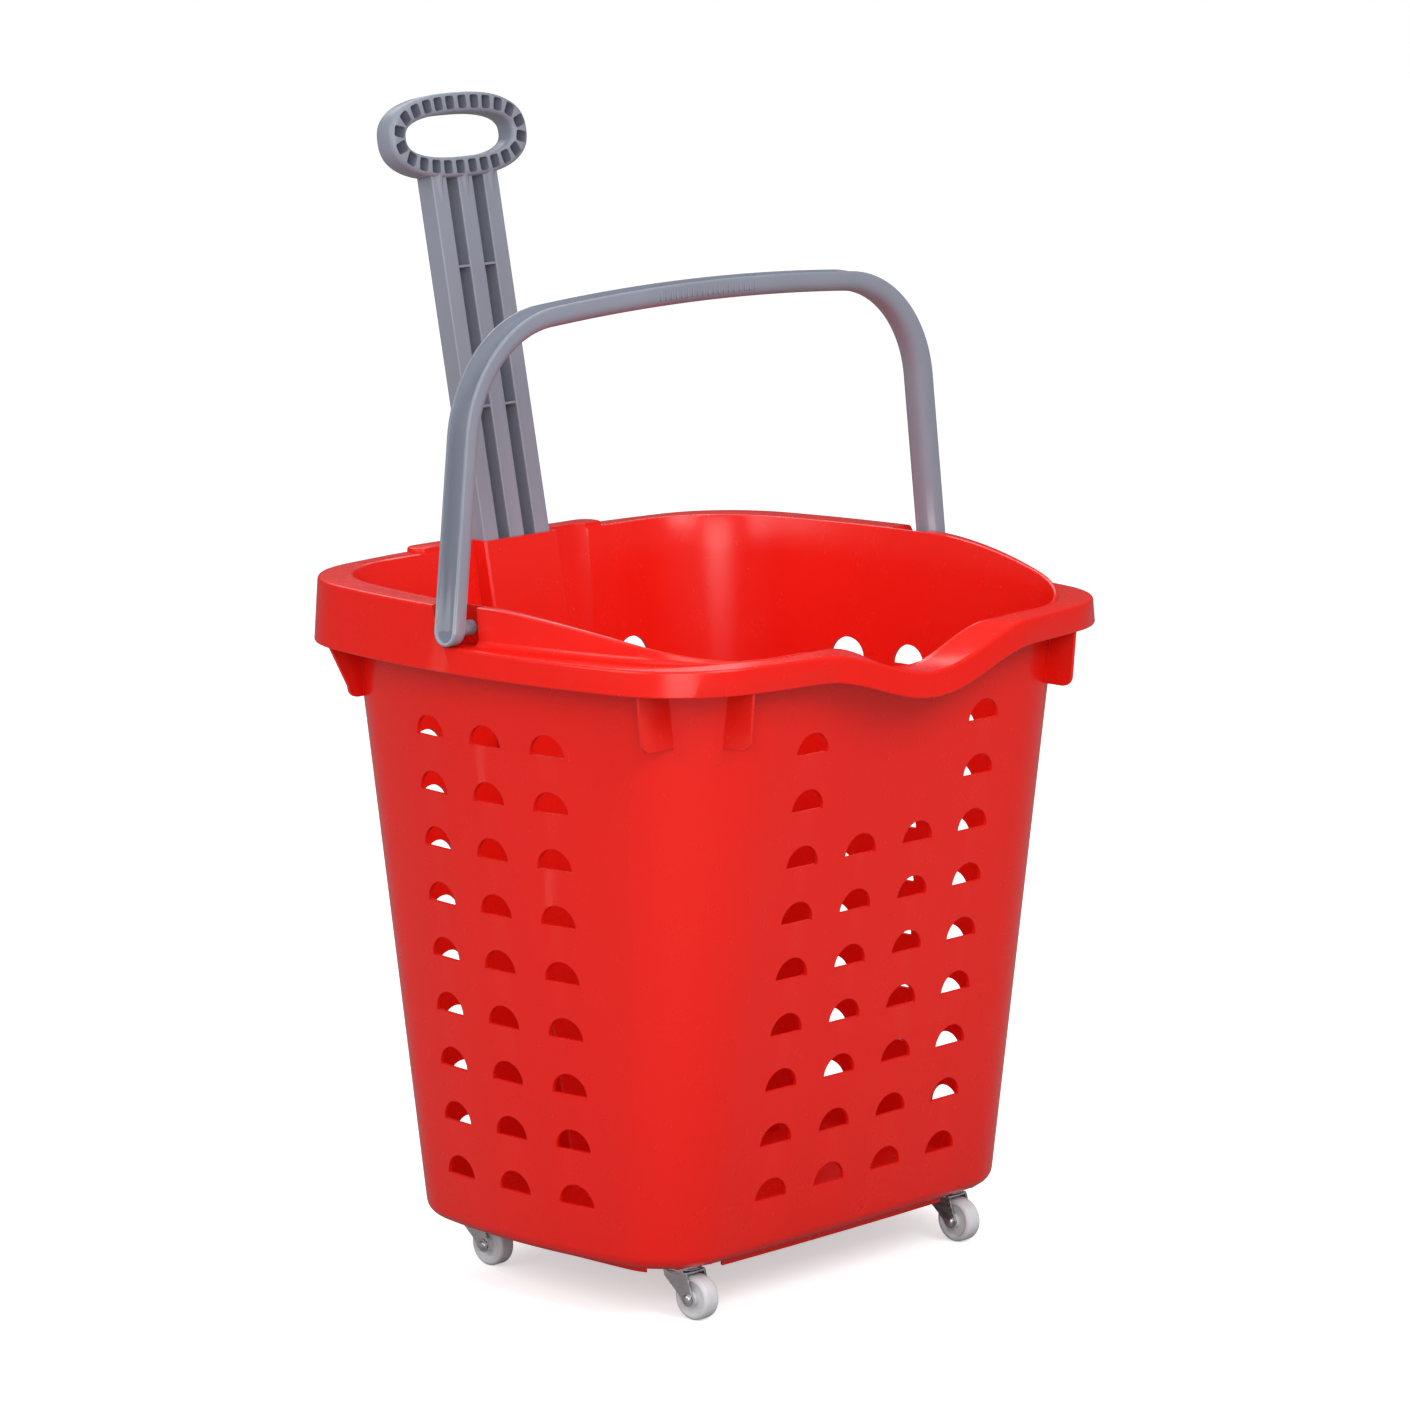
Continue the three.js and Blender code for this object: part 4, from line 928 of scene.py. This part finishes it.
def gusset(x):
    """A ramp from the top of one flat out to the front of the grip."""
    length = 19
    top = GRIP_CENTRE - GRIP_HALF[1] + 3
    foot, crest = top - length, GRIP_FRONT + 0.6
    low = [(x - 0.6, 1, foot), (x + 0.6, 1, foot), (x + 0.5, -0.1, foot), (x - 0.5, -0.1, foot)]
    high = [(x - 5.6, 1, top), (x + 5.6, 1, top), (x + 1.2, crest, top), (x - 1.2, crest, top)]
    return loft([np.array(low), np.array(high)])


def pull_handle():
    """The bar with its cross ribs and stop lugs, the ramps at its top, and the grip."""
    rib_half, lug_height, lug_reach = 0.9, 8, 2.4
    top = GRIP_CENTRE - GRIP_HALF[1] + 4
    bar = prism(bar_section(), BAR_BOTTOM, top, "xyz")
    ring, ring_pockets = grip()
    steps = []
    for k in range(3):
        s = BAR_RIB_TOP - k * BAR_RIB_PITCH
        for x in (-BAR_PITCH / 2, BAR_PITCH / 2):
            low = (x - BAR_GROOVE / 2 - 1, 1, s - rib_half)
            high = (x + BAR_GROOVE / 2 + 1, BAR_DEPTH - 1, s + rib_half)
            steps.append(("UNION", block(low, high)))
    for side in (-1, 1):
        x0, x1 = sorted((side * (BAR_HALF - BAR_WALL), side * (BAR_HALF + lug_reach)))
        lug = block((x0, 3, BAR_BOTTOM), (x1, BAR_DEPTH - 3, BAR_BOTTOM + lug_height))
        steps.append(("UNION", lug))
    steps += [("UNION", gusset(x)) for x in (-BAR_PITCH, 0, BAR_PITCH)]
    steps += [("UNION", ring), ("DIFFERENCE", ring_pockets)]
    return placed(combine(bar, steps), ON_SLIDE)


# ------------------------------------------------------------------ casters
def to_axle(mesh):
    """Lays a solid on the Z axis along the axle instead."""
    return placed(mesh, shift(0, -TRAIL, WHEEL_RADIUS), ALONG_X)


def caster_plate():
    half_x, half_y = PLATE_HALF
    outline = rounded(half_x, -half_y, half_y, PLATE_CORNER, 5)
    return prism(outline, PLATE_BOTTOM, PLATE_TOP)


def swivel_bearing():
    """Ball race: an upper and a lower cup with the dark gap between them."""
    low, high = FORK_TOP + CLEARANCE, PLATE_BOTTOM - CLEARANCE
    middle = (low + high) / 2
    profile = [
        (HUB_BORE, low), (10.6, low), (12, low + 0.5), (12, middle - 0.25),
        (10.4, middle - 0.1), (10.4, middle + 0.1), (11.6, middle + 0.25),
        (11.6, high - 0.4), (11.2, high), (HUB_BORE, high),
    ]
    return lathe(profile, 64)


def kingpin_rivet():
    """Rivet with its domed head under the fork's crown."""
    shank = HUB_BORE - CLEARANCE
    under = FORK_TOP - FORK_SHEET - CLEARANCE
    profile = [(0.0, under - 2), (3, under - 1.9), (4.6, under - 1.1), (5, under),
               (shank, under), (shank, PLATE_TOP), (0.0, PLATE_TOP)]
    return lathe(profile, 40)


def mounting_screws():
    """Four pan-head screws with crossed slots, under the mounting plate."""
    top = PLATE_BOTTOM - CLEARANCE
    screw = lathe([(0.0, top - 2), (1.4, top - 1.9), (2.7, top - 1.2), (3.2, top - 0.3),
                   (3.2, top), (1.8, top), (1.8, PLATE_TOP), (0.0, PLATE_TOP)], 32)
    slots = []
    for turned_by in (0.4, 0.4 + math.pi / 2):
        bar = block((-2.0, -0.35, top - 3), (2.0, 0.35, top - 1.3))
        slots.append(placed(bar, turn("Z", turned_by)))
    screw = cut(screw, *slots)
    return together([placed(screw, shift(x, y, 0)) for x, y in SCREWS])


def caster_fork():
    """Pressed fork: a crown, two tapered legs and a sloped web behind the wheel."""
    crown_bottom = FORK_TOP - FORK_SHEET
    outline = [
        (10.2, FORK_TOP - 1.2), (9.2, FORK_TOP), (-10, FORK_TOP), (-11.2, FORK_TOP - 1.2),
        (-12.6, 26.5), (-15.2, 19.5),
        *arc((-TRAIL, WHEEL_RADIUS), 5.0, math.radians(170), math.radians(320), 14),
        (-4.2, 16.6), (3.2, 22.6), (9.4, 27.6),
    ]
    leg = prism(outline, 0, FORK_SHEET, "yzx")
    legs = [placed(leg, shift(FORK_INNER, 0, 0)), placed(leg, shift(-FORK_OUTER, 0, 0))]
    crown = prism(rounded(FORK_OUTER, -11.2, 10.2, 1.2, 4), crown_bottom, FORK_TOP)
    disc = lathe([(0.0, crown_bottom), (11.4, crown_bottom), (12, crown_bottom + 0.6),
                  (12, FORK_TOP), (0.0, FORK_TOP)], 64)
    web_outline = [
        (10.2, FORK_TOP - 0.4), (8.7, FORK_TOP - 0.4), (8.2, 28.6), (3.6, 24.2),
        (4.6, 23.2), (9.4, 27.6), (10.2, 30.5),
    ]
    web = prism(web_outline, -FORK_OUTER + 0.4, FORK_OUTER - 0.4, "yzx")
    bore = rod(HUB_BORE, crown_bottom - 1, FORK_TOP + 1)
    axle = to_axle(rod(HUB_BORE, -20, 20))
    steps = [("UNION", part) for part in [disc, web, *legs]]
    return combine(crown, steps + [("DIFFERENCE", bore), ("DIFFERENCE", axle)])


def caster_wheel():
    """Wheel with a dished web on each side, a proud hub and a round-edged tread."""
    half, hub, tread_round = 6.5, 7.3, 3.0
    rim = WHEEL_RADIUS - tread_round
    side = [
        (HUB_BORE, hub), (4.6, hub), (5.0, 6.9), (5.3, half - 2.0), (10.4, half - 2.2),
        (11.0, half - 1.6), (11.5, half - 0.3), (rim, half),
        *arc((rim, half - tread_round), tread_round, math.pi / 2, 0, 8)[1:],
    ]
    return to_axle(lathe(side + [(r, -x) for r, x in side[::-1]], 96))


def axle_bolt():
    """Bolt with a small domed head on one side and a plain end on the other."""
    shank = HUB_BORE - CLEARANCE
    face = FORK_OUTER + CLEARANCE
    profile = [(0.0, -face - 2.2), (1.4, -face - 2.1), (2.6, -face - 1.7), (3.2, -face - 1.0),
               (3.3, -face - 0.8), (4.3, -face - 0.7), (4.4, -face), (shank, -face),
               (shank, face + 3.4), (2.1, face + 3.8), (0.0, face + 3.8)]
    return to_axle(lathe(profile, 40))


def axle_nut():
    """Hexagon nut with its corners rounded off by a cone."""
    face = FORK_OUTER + CLEARANCE
    hexagon = prism(arc((0, 0), 4.4, 0, 2 * math.pi, 6)[:-1], face, face + 2.6)
    cone = lathe([(0.0, face - 6), (5.6, face - 6), (4.9, face + 1.6), (3.6, face + 3.0),
                  (0.0, face + 3.0)], 48)
    bore = rod(HUB_BORE, face - 9, face + 9, 32)
    return to_axle(combine(hexagon, [("INTERSECT", cone), ("DIFFERENCE", bore)]))


# ------------------------------------------------------------------ the pieces
piece("tub_shell", tub(), "tub", "red_plastic", ["basket_tub"])
piece("bail_arch", bail(), "bail", "grey_plastic", ["bail_handle"])
piece("pull_bar", pull_handle(), "pull", "grey_plastic", ["pull_handle"])

CASTER_PARTS = (
    ("plate", caster_plate(), "tub", "zinc", "caster_plate"),
    ("race", swivel_bearing(), "tub", "zinc", "swivel_bearing"),
    ("rivet", kingpin_rivet(), "tub", "zinc", "kingpin_rivet"),
    ("screws", mounting_screws(), "tub", "zinc", "mounting_screw"),
    ("fork", caster_fork(), "fork_{}", "zinc", "caster_fork"),
    ("bolt", axle_bolt(), "fork_{}", "zinc", "axle_bolt"),
    ("nut", axle_nut(), "fork_{}", "zinc", "axle_nut"),
    ("wheel", caster_wheel(), "wheel_{}", "white_nylon", "caster_wheel"),
)
for place, spot in SPOTS.items():
    for name, mesh, body, finish, node in CASTER_PARTS:
        nodes = [f"{node}_{place}"]
        if node == "mounting_screw":
            nodes = [f"{node}_{i}_{place}" for i in range(1, 5)]
        piece(f"{name}_{place}", mesh, body.format(place), finish, nodes, (*spot, 0))

# ------------------------------------------------------------------ floor, light and camera
scene = bpy.context.scene
FLOOR_GLOW = 0.5  # lifts the floor to the white of the backdrop
FLOOR_BOUNCE = (0.30, 0.29, 0.29)  # the floor's colour for all light but the camera's
STUDIO_LIGHT, STUDIO_GLOSS, BACKDROP = 0.60, 0.12, 1.0
CAMERA_ANGLES = (-45.6416, 10.3588, -0.5365)  # azimuth, elevation and roll in degrees
CAMERA_LENS = 146.97
CAMERA_PLACE = Vector((-2744.46, -2681.39, 1081.85))  # round the middle of the basket, in mm


def area_light(name, azimuth, elevation, size, power, target=(0, 0, 0.35), distance=2.6):
    """A soft light aimed at the trolley; azimuth 0 stands in front, 90 to the right."""
    lamp = bpy.data.lights.new(name, "AREA")
    lamp.shape = "RECTANGLE"
    lamp.size, lamp.size_y = size
    lamp.energy = power
    thing = bpy.data.objects.new(name, lamp)
    a, e = math.radians(azimuth), math.radians(elevation)
    back = Vector((math.sin(a) * math.cos(e), -math.cos(a) * math.cos(e), math.sin(e)))
    thing.location = Vector(target) + back * distance
    thing.rotation_mode = "QUATERNION"
    thing.rotation_quaternion = back.to_track_quat("Z", "Y")
    scene.collection.objects.link(thing)


def pale_floor():
    """A large pale floor that fades into the backdrop."""
    half = 9.0
    corners = [(-half, -half, 0), (half, -half, 0), (half, half, 0), (-half, half, 0)]
    mesh = bpy.data.meshes.new("floor")
    mesh.from_pydata(corners, [], [(0, 1, 2, 3)])
    n = Nodes("floor")
    path = n.tree.nodes.new("ShaderNodeLightPath")
    tone = n.ramp(n.noise(1.5, 2), 0.93, 0.96)
    seen = path.outputs["Is Camera Ray"]
    n.link(n.blend(seen, FLOOR_BOUNCE, tone), n.shader.inputs["Base Color"])
    n.shader.inputs["Roughness"].default_value = 0.9
    n.shader.inputs["Specular IOR Level"].default_value = 0.1
    n.shader.inputs["Emission Color"].default_value = (1, 1, 1, 1)
    glow = n.tree.nodes.new("ShaderNodeMath")
    glow.operation = "MULTIPLY"
    glow.inputs[1].default_value = FLOOR_GLOW
    n.link(seen, glow.inputs[0])
    n.link(glow.outputs[0], n.shader.inputs["Emission Strength"])
    mesh.materials.append(n.material)
    floor = bpy.data.objects.new("floor", mesh)
    scene.collection.objects.link(floor)


def white_studio():
    """White backdrop for the camera, soft white surroundings for light."""
    world = bpy.data.worlds.new("studio")
    scene.world = world
    world.use_nodes = True
    tree = world.node_tree
    out = tree.nodes["World Output"]
    soft = tree.nodes["Background"]
    soft.inputs["Color"].default_value = (1, 1, 1, 1)
    soft.inputs["Strength"].default_value = STUDIO_LIGHT
    path = tree.nodes.new("ShaderNodeLightPath")
    shown = soft
    for ray, strength in (("Is Glossy Ray", STUDIO_GLOSS), ("Is Camera Ray", BACKDROP)):
        seen = tree.nodes.new("ShaderNodeBackground")
        seen.inputs["Color"].default_value = (1, 1, 1, 1)
        seen.inputs["Strength"].default_value = strength
        mix = tree.nodes.new("ShaderNodeMixShader")
        tree.links.new(path.outputs[ray], mix.inputs["Fac"])
        tree.links.new(shown.outputs[0], mix.inputs[1])
        tree.links.new(seen.outputs["Background"], mix.inputs[2])
        shown = mix
    tree.links.new(shown.outputs[0], out.inputs["Surface"])


def main_camera():
    """A long lens in front of the left front corner, a little above the rim."""
    azimuth, elevation, roll = (math.radians(v) for v in CAMERA_ANGLES)
    back = Vector((
        math.sin(azimuth) * math.cos(elevation),
        -math.cos(azimuth) * math.cos(elevation),
        math.sin(elevation),
    ))
    level = Vector((0, 0, 1)).cross(back).normalized()
    upright = back.cross(level)
    right = math.cos(roll) * level + math.sin(roll) * upright
    up = math.cos(roll) * upright - math.sin(roll) * level
    data = bpy.data.cameras.new("camera")
    data.lens = CAMERA_LENS
    data.sensor_width = 36
    data.clip_end = 100
    camera = bpy.data.objects.new("camera", data)
    position = TO_FRAME @ CAMERA_PLACE
    camera.matrix_world = Matrix((
        (right.x, up.x, back.x, position.x),
        (right.y, up.y, back.y, position.y),
        (right.z, up.z, back.z, position.z),
        (0, 0, 0, 1),
    ))
    scene.collection.objects.link(camera)
    scene.camera = camera


pale_floor()
white_studio()
area_light("key", -5, 38, (1.2, 1.2), 26)
area_light("fill", -100, 30, (1.4, 1.4), 18)
area_light("front", -46, 14, (1.2, 1.4), 20)
area_light("top", -40, 85, (2.0, 2.0), 10)
area_light("behind", 150, 40, (1.6, 1.0), 14)
main_camera()
scene.view_settings.view_transform = "Standard"
